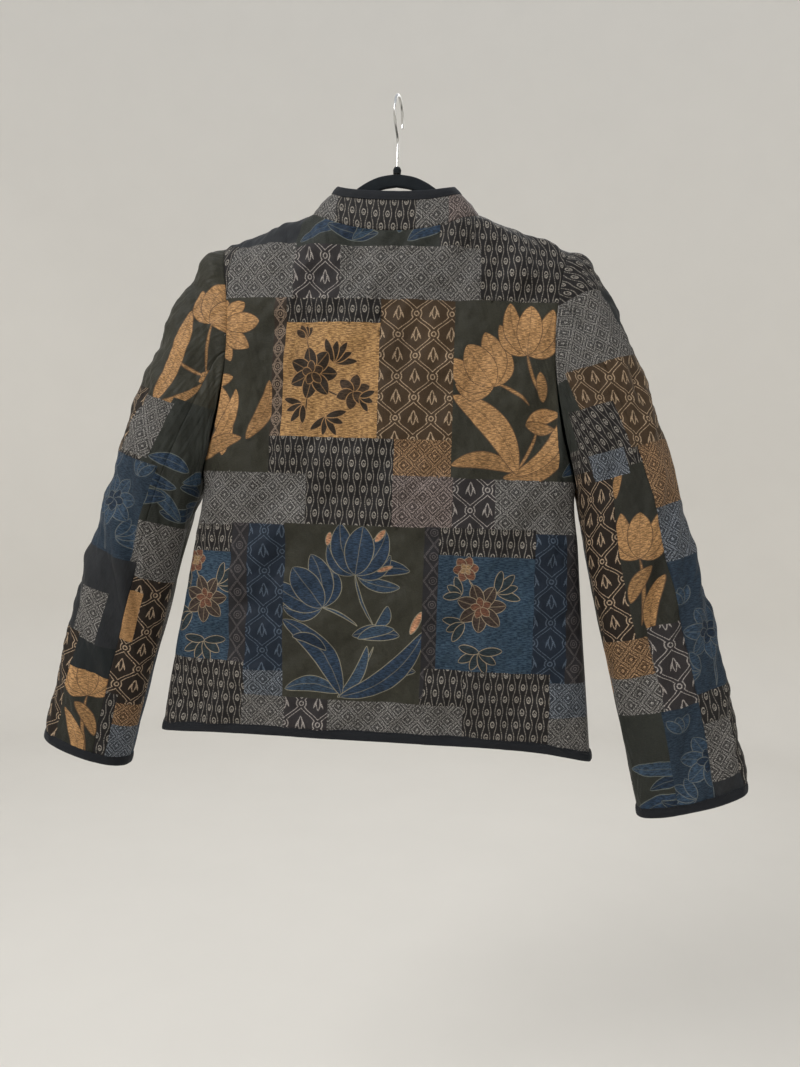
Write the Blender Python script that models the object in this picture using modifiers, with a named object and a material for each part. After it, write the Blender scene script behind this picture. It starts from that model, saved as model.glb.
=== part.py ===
"""A patchwork jacket with a stand collar and bound edges, hanging on a slim hanger.

Metres, +Z up. The origin is where the hook rests, at the inside top of its bend. The wearer's back
faces -Y and the wearer's left is at -X. Every cloth piece is an open grid laid on the garment's
surface, moved out and in by half its wall; every bound edge is a folded strip around that wall.
"""

import math
from collections import defaultdict, namedtuple
from functools import partial

import bmesh
import bpy
import numpy as np
from mathutils import Vector, geometry

# Cloth and seams
WALL = 0.0020
SEAM_HALF_GAP = 0.00017
UNDERARM_RELIEF = 0.0030
MITRE_LIMIT = 0.6
NEARLY_STRAIGHT = 0.98

# Heights below the hook's rest
NECK_SIDE_Z = -0.1275
NECK_BACK_DROP = 0.0295
NECK_FRONT_DROP = 0.082
ARMHOLE_TOP_Z = -0.1655
UNDERARM_Z = -0.427
HEM_Z = -0.7085
HEM_DIP_LEFT = 0.008
HEM_DIP_RIGHT = 0.016
HEM_DIP_POWER = 5
LEFT_FLARE = 0.013

# Half widths
NECK_HALF_WIDTH = 0.093
ARMHOLE_TOP_X = 0.190
FRONT_EDGE_X = 0.0022

# How the cloth falls off the shoulder ridge, and how square the body's sections are
SHOULDER_ROUNDING = 0.022
SHOULDER_FULLNESS = 0.7
NECKLINE_FULLNESS = 0.78
BODY_SQUARENESS = 3.0
SLEEVE_SQUARENESS = 2.2

# Grid counts
NECK_CELLS = 6
SHOULDER_CELLS = 9
BODY_ROWS = 8
ARMHOLE_ROWS = 10
ARMHOLE_ROW_CROWDING = 1.5
SLEEVE_ROWS = 20
FOLD_FADE_CELLS = 1.5

# Collar
COLLAR_ROW_SHARES = (0.0, 0.39, 0.774, 1.0)
COLLAR_RISE = 0.042
COLLAR_RISE_SIDE = 0.029
COLLAR_LEAN = 0.008
COLLAR_LEAN_SIDE = 0.028
COLLAR_BOW = 0.0015
COLLAR_GAP = 0.0004

# Bound edges: a folded strip around the wall's rim
BINDING_FLANGE = 0.0095
BINDING_CLOTH = 0.0011
BINDING_CLEARANCE = 0.00045
BINDING_FOLD = 0.0018

# Hanger
HANGER_TOP_Z = -0.082
HANGER_BAND = 0.014
HANGER_THICKNESS = 0.005
HANGER_EDGE_ROUNDING = 0.0010
HANGER_TIP_X = 0.206
HANGER_TIP_TILT = math.radians(15.0)
HANGER_CELLS = 22
HANGER_TIP_CELLS = 8
HOOK_WIRE = 0.0032
HOOK_BEND_RADIUS = 0.0215
HOOK_TURN = math.radians(6.5)
HOOK_START_ANGLE = math.radians(205.0)
HOOK_END_ANGLE = math.radians(-8.0)
HOOK_NECK_Z = -0.050
HOOK_LEAD = 0.010
HOOK_BEND_CELLS = 20
HOOK_SOCKET_RADIUS = 0.0046
HOOK_SOCKET_HEIGHT = 0.0075

BodySection = namedtuple("BodySection", "z half_width back_depth front_depth")
BODY_SECTIONS = (
    BodySection(-0.720, 0.2405, 0.034, 0.034),
    BodySection(-0.640, 0.2320, 0.036, 0.036),
    BodySection(-0.560, 0.2230, 0.039, 0.038),
    BodySection(-0.490, 0.2160, 0.042, 0.040),
    BodySection(-0.427, 0.2100, 0.044, 0.042),
    BodySection(-0.380, 0.2220, 0.045, 0.043),
    BodySection(-0.310, 0.2340, 0.045, 0.043),
    BodySection(-0.240, 0.2400, 0.045, 0.043),
    BodySection(-0.120, 0.2420, 0.044, 0.042),
)

ArmholePoint = namedtuple("ArmholePoint", "z x")
ARMHOLE_CURVE = (
    ArmholePoint(-0.427, 0.2100),
    ArmholePoint(-0.411, 0.2045),
    ArmholePoint(-0.372, 0.1915),
    ArmholePoint(-0.330, 0.1830),
    ArmholePoint(-0.277, 0.1780),
    ArmholePoint(-0.237, 0.1785),
    ArmholePoint(-0.202, 0.1830),
    ArmholePoint(-0.1655, 0.1900),
)

EdgePoint = namedtuple("EdgePoint", "x z")
SLEEVE_OUTER_EDGE = (
    EdgePoint(0.190, -0.1655),
    EdgePoint(0.211, -0.1745),
    EdgePoint(0.233, -0.208),
    EdgePoint(0.264, -0.272),
    EdgePoint(0.290, -0.338),
    EdgePoint(0.316, -0.417),
    EdgePoint(0.340, -0.497),
    EdgePoint(0.362, -0.577),
    EdgePoint(0.384, -0.659),
    EdgePoint(0.401, -0.7405),
)
SLEEVE_INNER_EDGE = (
    EdgePoint(0.210, -0.427),
    EdgePoint(0.2132, -0.442),
    EdgePoint(0.2215, -0.487),
    EdgePoint(0.2345, -0.547),
    EdgePoint(0.2550, -0.630),
    EdgePoint(0.2905, -0.775),
)

RowShare = namedtuple("RowShare", "row along")
SLEEVE_ROW_SHARES = (
    RowShare(0, 0.000),
    RowShare(1, 0.018),
    RowShare(3, 0.075),
    RowShare(11, 0.400),
    RowShare(20, 1.000),
)

SleeveSection = namedtuple("SleeveSection", "along half_depth centre_y")
SleeveShape = namedtuple("SleeveShape", "sign reach narrow back_seam front_seam sections folds")
Fold = namedtuple("Fold", "along around half_length half_width tilt_deg depth")

# The under sleeve starts this far along its inner edge for each step along the outer one
INNER_LINEAR_SHARE = 0.12
INNER_POWER = 2.4

# Shares of the sleeve's length: the armhole's shape fades out, then one sleeve narrows
ARMHOLE_HOLD = 0.32
NARROWING_START = 0.15
NARROWING_END = 0.50

# Heights above the underarm up to which the armhole seam is folded flat, and above which it isn't
FOLDED_SEAM_HEIGHT = 0.060
FREE_SEAM_HEIGHT = 0.150

RIGHT_SLEEVE = SleeveShape(
    sign=1,
    reach=1.0,
    narrow=1.0,
    back_seam=6,
    front_seam=20,
    sections=(
        SleeveSection(0.00, 0.042, 0.000),
        SleeveSection(0.15, 0.046, -0.001),
        SleeveSection(0.35, 0.044, -0.006),
        SleeveSection(0.60, 0.038, -0.014),
        SleeveSection(0.80, 0.033, -0.020),
        SleeveSection(1.00, 0.025, -0.024),
    ),
    folds=(
        Fold(0.250, 0.085, 0.075, 0.026, -24.0, 0.008),
        Fold(0.305, 0.080, 0.070, 0.017, -20.0, -0.009),
        Fold(0.395, 0.060, 0.060, 0.030, -28.0, 0.004),
        Fold(0.300, 0.330, 0.060, 0.020, 20.0, -0.006),
    ),
)
LEFT_SLEEVE = SleeveShape(
    sign=-1,
    reach=0.992,
    narrow=0.90,
    back_seam=4,
    front_seam=20,
    sections=(
        SleeveSection(0.00, 0.042, 0.000),
        SleeveSection(0.15, 0.047, 0.000),
        SleeveSection(0.35, 0.047, 0.001),
        SleeveSection(0.60, 0.042, 0.004),
        SleeveSection(0.80, 0.037, 0.007),
        SleeveSection(1.00, 0.031, 0.010),
    ),
    folds=(
        Fold(0.215, 0.075, 0.070, 0.020, -32.0, 0.006),
        Fold(0.255, 0.070, 0.070, 0.015, -28.0, -0.007),
        Fold(0.300, 0.070, 0.060, 0.018, -24.0, 0.005),
        Fold(0.345, 0.065, 0.050, 0.016, -20.0, -0.005),
        Fold(0.300, 0.330, 0.060, 0.020, 20.0, -0.006),
    ),
)

# Folds of the body: place on the panel (across, up from the hem), size, tilt from upright, depth
BACK_FOLDS = (
    Fold(0.350, -0.128, 0.095, 0.011, 2.0, -0.0045),
    Fold(0.340, -0.104, 0.085, 0.010, -3.0, 0.0030),
    Fold(0.345, 0.112, 0.075, 0.012, 4.0, -0.0035),
    Fold(0.330, 0.168, 0.080, 0.013, 6.0, -0.0045),
    Fold(0.120, -0.060, 0.110, 0.024, -5.0, 0.0030),
    Fold(0.110, 0.070, 0.100, 0.026, 4.0, -0.0030),
    Fold(0.100, 0.178, 0.090, 0.020, -3.0, 0.0030),
)
FRONT_FOLDS = (
    Fold(0.340, 0.120, 0.090, 0.014, -6.0, -0.0040),
    Fold(0.330, 0.160, 0.080, 0.013, -10.0, 0.0030),
    Fold(0.130, 0.080, 0.110, 0.026, 4.0, -0.0035),
    Fold(0.110, 0.160, 0.090, 0.022, -4.0, 0.0030),
)

HangerPoint = namedtuple("HangerPoint", "x drop")
HANGER_PROFILE = (
    HangerPoint(0.000, 0.0000),
    HangerPoint(0.020, 0.0038),
    HangerPoint(0.040, 0.0150),
    HangerPoint(0.060, 0.0340),
    HangerPoint(0.080, 0.0480),
    HangerPoint(0.100, 0.0545),
    HangerPoint(0.130, 0.0640),
    HangerPoint(0.170, 0.0795),
    HangerPoint(0.206, 0.0975),
)

CLOTH_COLOUR = (0.085, 0.080, 0.068)
BINDING_COLOUR = (0.010, 0.013, 0.018)
FLOCK_COLOUR = (0.006, 0.007, 0.010)
STEEL_COLOUR = (0.62, 0.62, 0.63)


def through(knots, values, at):
    """A smooth curve through the table's points, read at one place or many."""
    knots, values = np.asarray(knots, float), np.asarray(values, float)
    slopes = np.gradient(values, knots)
    at = np.clip(at, knots[0], knots[-1])
    cell = np.clip(np.searchsorted(knots, at) - 1, 0, len(knots) - 2)
    width = knots[cell + 1] - knots[cell]
    share = (at - knots[cell]) / width
    rise = values[cell + 1] - values[cell]
    bend_in = slopes[cell] * width - rise
    bend_out = rise - slopes[cell + 1] * width
    return (
        values[cell]
        + rise * share
        + share * (1 - share) * (bend_in * (1 - share) + bend_out * share)
    )


def smooth_step(low, high, value):
    """0 below low, 1 above high, with an S-shaped rise between."""
    share = min(max((value - low) / (high - low), 0.0), 1.0)
    return share * share * (3 - 2 * share)


def column(table, name):
    """One named column of a table as a list."""
    return [getattr(row, name) for row in table]


def section_at(z, name):
    """A size of the body's section at a height."""
    return float(through(column(BODY_SECTIONS, "z"), column(BODY_SECTIONS, name), z))


def armhole_x(z):
    """How far out the armhole seam lies at a height."""
    return float(through(column(ARMHOLE_CURVE, "z"), column(ARMHOLE_CURVE, "x"), z))


def shoulder_z(x):
    """Height of the shoulder ridge, carried on over the neck."""
    slope = (ARMHOLE_TOP_Z - NECK_SIDE_Z) / (ARMHOLE_TOP_X - NECK_HALF_WIDTH)
    return NECK_SIDE_Z + slope * (abs(x) - NECK_HALF_WIDTH)


def neckline_z(x, drop):
    """Height of the neck seam, which dips by drop at the centre."""
    share = min(abs(x) / NECK_HALF_WIDTH, 1.0)
    return NECK_SIDE_Z - drop * (1 - share**2) ** NECKLINE_FULLNESS


def body_depth(x, z, face):
    """Distance of the back (face -1) or front (face 1) from the hanger's plane."""
    depth = section_at(z, "back_depth" if face < 0 else "front_depth")
    reach = min(abs(x) / section_at(z, "half_width"), 1.0)
    round_off = (1 - reach**BODY_SQUARENESS) ** (1 / BODY_SQUARENESS)
    fall = max(shoulder_z(x) - z, 0.0)
    return depth * round_off * (1 - math.exp(-fall / SHOULDER_ROUNDING)) ** SHOULDER_FULLNESS


def column_shares():
    """Shares of the half width at the grid's columns, with one column on the neck point."""
    neck_angle = math.asin(NECK_HALF_WIDTH / ARMHOLE_TOP_X)
    neck = [neck_angle * i / NECK_CELLS for i in range(NECK_CELLS)]
    rest = [
        neck_angle + (math.pi / 2 - neck_angle) * i / SHOULDER_CELLS
        for i in range(SHOULDER_CELLS + 1)
    ]
    return [math.sin(angle) for angle in neck + rest]


def row_edges():
    """(height, half width) where each grid row meets the side seam or the armhole."""
    body = [
        HEM_Z + (UNDERARM_Z - HEM_Z) * i / BODY_ROWS for i in range(BODY_ROWS)
    ]
    left_over = [(1 - i / ARMHOLE_ROWS) ** ARMHOLE_ROW_CROWDING for i in range(ARMHOLE_ROWS + 1)]
    arm = [UNDERARM_Z + (ARMHOLE_TOP_Z - UNDERARM_Z) * (1 - share) for share in left_over]
    return [(z, section_at(z, "half_width")) for z in body] + [
        (z, armhole_x(z)) for z in arm
    ]


def hang(x, z):
    """How the body really hangs: lower at the side seams, and flared more on the left."""
    down = smooth_step(0.0, 1.0, (UNDERARM_Z - z) / (UNDERARM_Z - HEM_Z))
    sideways = abs(x) / section_at(z, "half_width")
    dip = HEM_DIP_LEFT if x < 0 else HEM_DIP_RIGHT
    flare = LEFT_FLARE if x < 0 else 0.0
    hung_x = x * (1 + flare * down / section_at(z, "half_width"))
    return hung_x, z - dip * down * sideways**HEM_DIP_POWER


def body_grid(shares, face, neck_drop):
    """Rows of points on the back or the front, from the hem up, for signed column shares."""
    rows = []
    for edge_z, edge_x in row_edges():
        row = []
        for share in shares:
            top_x = share * ARMHOLE_TOP_X
            if abs(top_x) < NECK_HALF_WIDTH:
                top_z = neckline_z(top_x, neck_drop)
            else:
                top_z = shoulder_z(top_x)
            stretch = (top_z - HEM_Z) / (ARMHOLE_TOP_Z - HEM_Z)
            z = HEM_Z + (edge_z - HEM_Z) * stretch
            x = share * edge_x
            hung_x, hung_z = hang(x, z)
            row.append(Vector((hung_x, face * body_depth(x, z, face), hung_z)))
        rows.append(row)
    return rows


def place_key(point):
    """A point's place to a micrometre, the same for panels that share it."""
    return tuple(round(value, 6) for value in point)


def shared_normals(grids):
    """The normal at each point of all grids, averaged where grids meet.

    Each grid is (rows, side), with side 1 where columns x rows point outwards and -1 elsewhere.
    """
    sums = defaultdict(Vector)
    for rows, side in grids:
        for low, high in zip(rows, rows[1:], strict=False):
            for j in range(len(low) - 1):
                corners = (low[j], low[j + 1], high[j + 1], high[j])
                normal = (corners[2] - corners[0]).cross(corners[3] - corners[1])
                for corner in corners:
                    sums[place_key(corner)] += normal.normalized() * side
    return {key: total.normalized() for key, total in sums.items()}


def normals_on(rows, lookup):
    """The looked-up normals in the grid's own order."""
    return [[lookup[place_key(point)] for point in row] for row in rows]


def wall_offsets(rows, side, normals):
    """Half the wall at each point, along its normal and lengthened where that slants."""
    own = normals_on(rows, shared_normals([(rows, side)]))
    return [
        [
            normal * (WALL / 2 / max(normal.dot(plain), MITRE_LIMIT))
            for normal, plain in zip(normal_row, own_row, strict=True)
        ]
        for normal_row, own_row in zip(normals, own, strict=True)
    ]


def fold_height(fold, along, around):
    """How far one fold lifts or sinks the cloth at a place on its panel."""
    tilt = math.radians(fold.tilt_deg)
    off_along, off_around = along - fold.along, around - fold.around
    lengthways = off_along * math.cos(tilt) + off_around * math.sin(tilt)
    sideways = off_around * math.cos(tilt) - off_along * math.sin(tilt)
    reach = abs(lengthways) / fold.half_length
    if reach >= 1:
        return 0.0
    return fold.depth * (1 - reach**2) ** 2 * math.exp(-((sideways / fold.half_width) ** 2))


def folded(rows, normals, places, folds, ring=False):
    """The grid with its folds, which fade out towards its edges. A ring has no side edges."""
    last_row, last_column = len(rows) - 1, len(rows[0]) - 1
    made = []
    for i, row in enumerate(rows):
        made_row = []
        for j, point in enumerate(row):
            height = sum(fold_height(fold, *places(i, j)) for fold in folds)
            inside = min(i, last_row - i) if ring else min(i, last_row - i, j, last_column - j)
            height *= smooth_step(0.0, FOLD_FADE_CELLS, inside)
            made_row.append(point + normals[i][j] * height)
        made.append(made_row)
    if ring:
        for row in made:
            row[-1] = row[0]
    return made


def inset(before, after, gap_before, gap_after):
    """The move that keeps clear of two edges, from their inward directions and gaps."""
    shared = before.dot(after)
    if shared > NEARLY_STRAIGHT:
        return before * max(gap_before, gap_after)
    move = before * (gap_before - gap_after * shared) + after * (gap_after - gap_before * shared)
    return move / (1 - shared**2)


def trim(rows, side, normals, gaps):
    """The grid with its edges drawn back by their gaps, which run bottom, right, top, left."""
    last_row, last_column = len(rows) - 1, len(rows[0]) - 1
    route = (
        [(0, j) for j in range(last_column)]
        + [(i, last_column) for i in range(last_row)]
        + [(last_row, j) for j in range(last_column, 0, -1)]
        + [(i, 0) for i in range(last_row, 0, -1)]
    )
    edge_gaps = [gap for gap, count in zip(gaps, (last_column, last_row) * 2) for _ in range(count)]
    made = [list(row) for row in rows]
    for k, (i, j) in enumerate(route):
        before, after = route[k - 1], route[(k + 1) % len(route)]
        point, normal = rows[i][j], normals[i][j] * side
        inward_before = normal.cross(point - rows[before[0]][before[1]]).normalized()
        inward_after = normal.cross(rows[after[0]][after[1]] - point).normalized()
        made[i][j] = point + inset(inward_before, inward_after, edge_gaps[k - 1], edge_gaps[k])
    return made


def material(name, colour, roughness, metallic=0.0, sheen=0.0):
    """A plain Principled material."""
    made = bpy.data.materials.new(name)
    made.use_nodes = True
    shader = made.node_tree.nodes["Principled BSDF"]
    shader.inputs["Base Color"].default_value = (*colour, 1.0)
    shader.inputs["Roughness"].default_value = roughness
    shader.inputs["Metallic"].default_value = metallic
    shader.inputs["Sheen Weight"].default_value = sheen
    made.diffuse_color = (*colour, 1.0)
    return made


def link(name, data, finish):
    """A new object for a mesh or curve, in the jacket's collection."""
    made = bpy.data.objects.new(name, data)
    data.materials.append(finish)
    bpy.data.collections["jacket"].objects.link(made)
    return made


def finish_mesh(name, mesh_edit, finish):
    """Turns an edited mesh into a smooth-shaded object with its faces pointing out."""
    bmesh.ops.recalc_face_normals(mesh_edit, faces=mesh_edit.faces)
    bmesh.ops.triangulate(mesh_edit, faces=mesh_edit.faces, quad_method="SHORT_EDGE")
    mesh = bpy.data.meshes.new(name)
    mesh_edit.to_mesh(mesh)
    mesh_edit.free()
    mesh.shade_smooth()
    mesh.set_sharp_from_angle(angle=math.radians(50))
    return link(name, mesh, finish)


def cloth_wall(name, rows, offsets, finish):
    """A cloth piece: the grid's points moved out and in by half the wall, joined round the rim."""
    mesh_edit = bmesh.new()
    faces = []
    for direction in (1, -1):
        faces.append(
            [
                [mesh_edit.verts.new(point + offset * direction) for point, offset in zip(*pair)]
                for pair in zip(rows, offsets, strict=True)
            ]
        )
    for grid in faces:
        for low, high in zip(grid, grid[1:], strict=False):
            for j in range(len(low) - 1):
                mesh_edit.faces.new((low[j], low[j + 1], high[j + 1], high[j]))
    rims = [
        grid[0] + [row[-1] for row in grid[1:-1]] + grid[-1][::-1] + [row[0] for row in grid[-2:0:-1]]
        for grid in faces
    ]
    outer, inner = rims
    for k in range(len(outer)):
        mesh_edit.faces.new((outer[k - 1], outer[k], inner[k], inner[k - 1]))
    return finish_mesh(name, mesh_edit, finish)


def loft(name, sections, finish, cyclic=False):
    """A closed body through sections of equal point counts, capped unless it is a ring."""
    mesh_edit = bmesh.new()
    rings = [[mesh_edit.verts.new(point) for point in section] for section in sections]
    count = len(rings[0])
    pairs = list(zip(rings, rings[1:], strict=False))
    if cyclic:
        pairs.append((rings[-1], rings[0]))
    for near, far in pairs:
        for k in range(count):
            following = (k + 1) % count
            mesh_edit.faces.new((near[k], near[following], far[following], far[k]))
    if not cyclic:
        mesh_edit.faces.new(rings[0])
        mesh_edit.faces.new(rings[-1])
    return finish_mesh(name, mesh_edit, finish)


def binding_section(edge, inner, edge_offset, inner_offset):
    """One section of a folded strip: its two flanges hold the wall's rim between them.

    The offsets are half the wall at the edge and at the next point into the cloth.
    """
    reach = (inner - edge).length
    into = (inner - edge) / reach
    deep = BINDING_FLANGE / reach
    groove = 1 + BINDING_CLEARANCE / (WALL / 2)
    side = groove + BINDING_CLOTH / (WALL / 2)
    at_rim = (edge_offset, edge - into * BINDING_FOLD)
    in_groove = (edge_offset, edge - into * BINDING_CLEARANCE)
    on_cloth = (edge_offset.lerp(inner_offset, deep), edge.lerp(inner, deep))
    outline = (
        (-side, on_cloth),
        (-side, at_rim),
        (side, at_rim),
        (side, on_cloth),
        (groove, on_cloth),
        (groove, in_groove),
        (-groove, in_groove),
        (-groove, on_cloth),
    )
    return [place + offset * across for across, (offset, place) in outline]


def binding(name, lines, finish, cyclic=False):
    """A folded strip along an edge.

    The lines are the edge's points, the next points into the cloth and the offsets of both.
    """
    sections = [binding_section(*places) for places in zip(*lines, strict=True)]
    return loft(name, sections, finish, cyclic)


def mirrored_shares():
    """Column shares right across the back, from the wearer's left."""
    half = column_shares()
    return [-share for share in reversed(half[1:])] + half


def front_grid(side):
    """One front's points, from its front edge to the side seam, without folds."""
    rows = body_grid([side * share for share in column_shares()], 1, NECK_FRONT_DROP)
    for row in rows:
        row[0] = Vector((side * FRONT_EDGE_X, row[0].y, row[0].z))
    return rows


def body_places(rows):
    """Height above the hem and distance from the middle at each grid point, for its folds."""

    def place(i, j):
        return rows[i][j].z - HEM_Z, rows[i][j].x

    return place


def front_places(rows):
    """The same, with the distance counted outwards on both fronts."""

    def place(i, j):
        return rows[i][j].z - HEM_Z, abs(rows[i][j].x)

    return place


def edge_path(table):
    """Points of a sleeve edge's table, with the distance along it at each."""
    spans = [
        math.hypot(b.x - a.x, b.z - a.z) for a, b in zip(table, table[1:], strict=False)
    ]
    return np.concatenate([[0.0], np.cumsum(spans)])


def edge_point(table, share):
    """The point of a sleeve edge at a share of its length."""
    travelled = edge_path(table)
    at = share * travelled[-1]
    return Vector(
        (
            float(through(travelled, column(table, "x"), at)),
            0.0,
            float(through(travelled, column(table, "z"), at)),
        )
    )


def signed_power(value, power):
    """A power that keeps the sign."""
    return math.copysign(abs(value) ** power, value)


def sleeve_ring(shape, along, armhole):
    """Points round the sleeve at a share of its length, from the underarm over the back."""
    outer = edge_point(SLEEVE_OUTER_EDGE, along)
    inner_share = INNER_LINEAR_SHARE * along + (1 - INNER_LINEAR_SHARE) * along**INNER_POWER
    inner = edge_point(SLEEVE_INNER_EDGE, inner_share)
    narrow = 1 - (1 - shape.narrow) * smooth_step(NARROWING_START, NARROWING_END, along)
    middle, half = (outer + inner) / 2, (outer - inner) / 2 * narrow
    middle = middle + half * (1 - narrow)
    shares = column(shape.sections, "along")
    depth = float(through(shares, column(shape.sections, "half_depth"), along))
    centre_y = float(through(shares, column(shape.sections, "centre_y"), along))
    count = len(armhole)
    power = 2 / SLEEVE_SQUARENESS
    ring = []
    for k in range(count):
        angle = 2 * math.pi * k / count
        across = signed_power(-math.cos(angle), power)
        toward = signed_power(-math.sin(angle), power)
        point = middle + half * across + Vector((0, centre_y + depth * toward, 0))
        ring.append(Vector((shape.sign * point.x, point.y, point.z)))
    return ring


def armhole_loop(sign):
    """The armhole seam's points, from the underarm up the back and down the front."""
    back = body_grid([sign], -1, NECK_BACK_DROP)[BODY_ROWS:]
    front = body_grid([sign], 1, NECK_FRONT_DROP)[BODY_ROWS:]
    return [row[0] for row in back] + [row[0] for row in reversed(front[1:-1])]


def sleeve_along(row):
    """Share of the sleeve's length at a row. The rows are closest over the shoulder."""
    return float(through(column(SLEEVE_ROW_SHARES, "row"), column(SLEEVE_ROW_SHARES, "along"), row))


def sleeve_rings(shape):
    """A sleeve's rings from the armhole seam to the cuff, each closed by its first point."""
    armhole = armhole_loop(shape.sign)
    first = sleeve_ring(shape, 0.0, armhole)
    rings = []
    for row in range(SLEEVE_ROWS + 1):
        along = sleeve_along(row)
        hold = 1 - smooth_step(0.0, ARMHOLE_HOLD, along)
        ring = sleeve_ring(shape, along * shape.reach, armhole)
        made = [
            point + (armhole[k] - first[k]) * hold if along else armhole[k]
            for k, point in enumerate(ring)
        ]
        rings.append(made + made[:1])
    return rings


def sleeve_places(rings):
    """Distance down the sleeve and round it at each grid point, for its folds."""
    down = [[0.0] * len(rings[0])]
    for near, far in zip(rings, rings[1:], strict=False):
        down.append(
            [d + (b - a).length for d, a, b in zip(down[-1], near, far, strict=True)]
        )
    around = []
    for ring in rings:
        travelled = [0.0]
        for a, b in zip(ring, ring[1:], strict=False):
            travelled.append(travelled[-1] + (b - a).length)
        around.append(travelled)

    def place(i, j):
        return down[i][j], around[i][j]

    return place


def underarm_share(point):
    """1 at the underarm, where the sleeve lies against the body, and 0 higher up."""
    return 1 - smooth_step(UNDERARM_Z + FOLDED_SEAM_HEIGHT, UNDERARM_Z + FREE_SEAM_HEIGHT, point.z)


def eased_from_body(rings, shape):
    """The rings moved off the body near the underarm, where the seam folds flat."""
    made = []
    for i, ring in enumerate(rings):
        hold = 1 - smooth_step(0.0, ARMHOLE_HOLD, sleeve_along(i))
        made.append(
            [
                point
                + Vector((shape.sign * UNDERARM_RELIEF * hold * underarm_share(rings[0][k]), 0, 0))
                for k, point in enumerate(ring)
            ]
        )
    return made


def sleeve_split(rings, shape):
    """The upper and under sleeve as grids, split at the back and front seams."""
    upper = [ring[shape.back_seam : shape.front_seam + 1] for ring in rings]
    under = [ring[shape.front_seam :] + ring[1 : shape.back_seam + 1] for ring in rings]
    return {"upper": upper, "under": under}


def neck_loop(back, left, right):
    """The neck seam from the left front edge round the back to the right front edge."""
    centre = len(back[-1]) // 2
    behind = back[-1][centre - NECK_CELLS + 1 : centre + NECK_CELLS]
    return left[-1][: NECK_CELLS + 1] + behind + right[-1][NECK_CELLS::-1]


def collar_rows(neck):
    """The collar's points, from the neck seam up. It leans in most at the sides."""
    rows = []
    for share in COLLAR_ROW_SHARES:
        row = []
        for point in neck:
            sideways = min(abs(point.x) / NECK_HALF_WIDTH, 1.0) ** 2
            toward = Vector((-point.x, -point.y, 0)).normalized()
            lean = COLLAR_LEAN + (COLLAR_LEAN_SIDE - COLLAR_LEAN) * sideways
            rise = COLLAR_RISE + (COLLAR_RISE_SIDE - COLLAR_RISE) * sideways
            inward = lean * share - COLLAR_BOW * math.sin(math.pi * share)
            row.append(point + toward * inward + Vector((0, 0, rise * share)))
        row[0].x, row[-1].x = -FRONT_EDGE_X, FRONT_EDGE_X
        rows.append(row)
    return rows


def drawn_short(line, distance):
    """Where a line, measured from its start, reaches a distance: the cell and the share of it."""
    for k, (near, far) in enumerate(zip(line, line[1:], strict=False)):
        length = (far - near).length
        if length > distance:
            return k, distance / length
        distance -= length
    return len(line) - 2, 1.0


def cut_short(lines, distance):
    """Parallel lines of points cut off where the first of them reaches a distance."""
    cell, share = drawn_short(lines[0], distance)
    return [[line[cell].lerp(line[cell + 1], share)] + line[cell + 1 :] for line in lines]


def hanger_outline():
    """The hanger's band seen from the back: top edge, rounded tip, lower edge."""
    xs, drops = column(HANGER_PROFILE, "x"), column(HANGER_PROFILE, "drop")
    steps = [HANGER_TIP_X * i / HANGER_CELLS for i in range(HANGER_CELLS + 1)]
    centre = [Vector((x, -float(through(xs, drops, x)) - HANGER_BAND / 2)) for x in steps]
    sides = []
    for k, point in enumerate(centre):
        ahead = centre[min(k + 1, len(centre) - 1)] - centre[max(k - 1, 0)]
        across = Vector((-ahead.y, ahead.x)).normalized() * HANGER_BAND / 2
        sides.append((point + across, point - across))
    tip = centre[-1]
    arc = []
    for k in range(1, HANGER_TIP_CELLS):
        angle = math.pi / 2 - math.pi * k / HANGER_TIP_CELLS - HANGER_TIP_TILT
        arc.append(tip + Vector((math.cos(angle), math.sin(angle))) * HANGER_BAND / 2)
    top = [pair[0] for pair in sides]
    low = [pair[1] for pair in reversed(sides)]
    right = top + arc + low
    left = [Vector((-p.x, p.y)) for p in reversed(right[1:-1])]
    return right + left


def make_hanger(finish):
    """The hanger's body: a flat band, extruded and with softened edges."""
    curve = bpy.data.curves.new("hanger", "CURVE")
    curve.dimensions = "2D"
    curve.fill_mode = "BOTH"
    curve.extrude = HANGER_THICKNESS / 2 - HANGER_EDGE_ROUNDING
    curve.bevel_depth = HANGER_EDGE_ROUNDING
    curve.bevel_resolution = 1
    curve.offset = -HANGER_EDGE_ROUNDING
    outline = hanger_outline()
    spline = curve.splines.new("POLY")
    spline.points.add(len(outline) - 1)
    for point, place in zip(spline.points, outline, strict=True):
        point.co = (place.x, place.y, 0.0, 1.0)
    spline.use_cyclic_u = True
    hanger = link("hanger", curve, finish)
    hanger.location = (0.0, 0.0, HANGER_TOP_Z)
    hanger.rotation_euler = (math.pi / 2, 0.0, 0.0)
    return hanger


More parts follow.
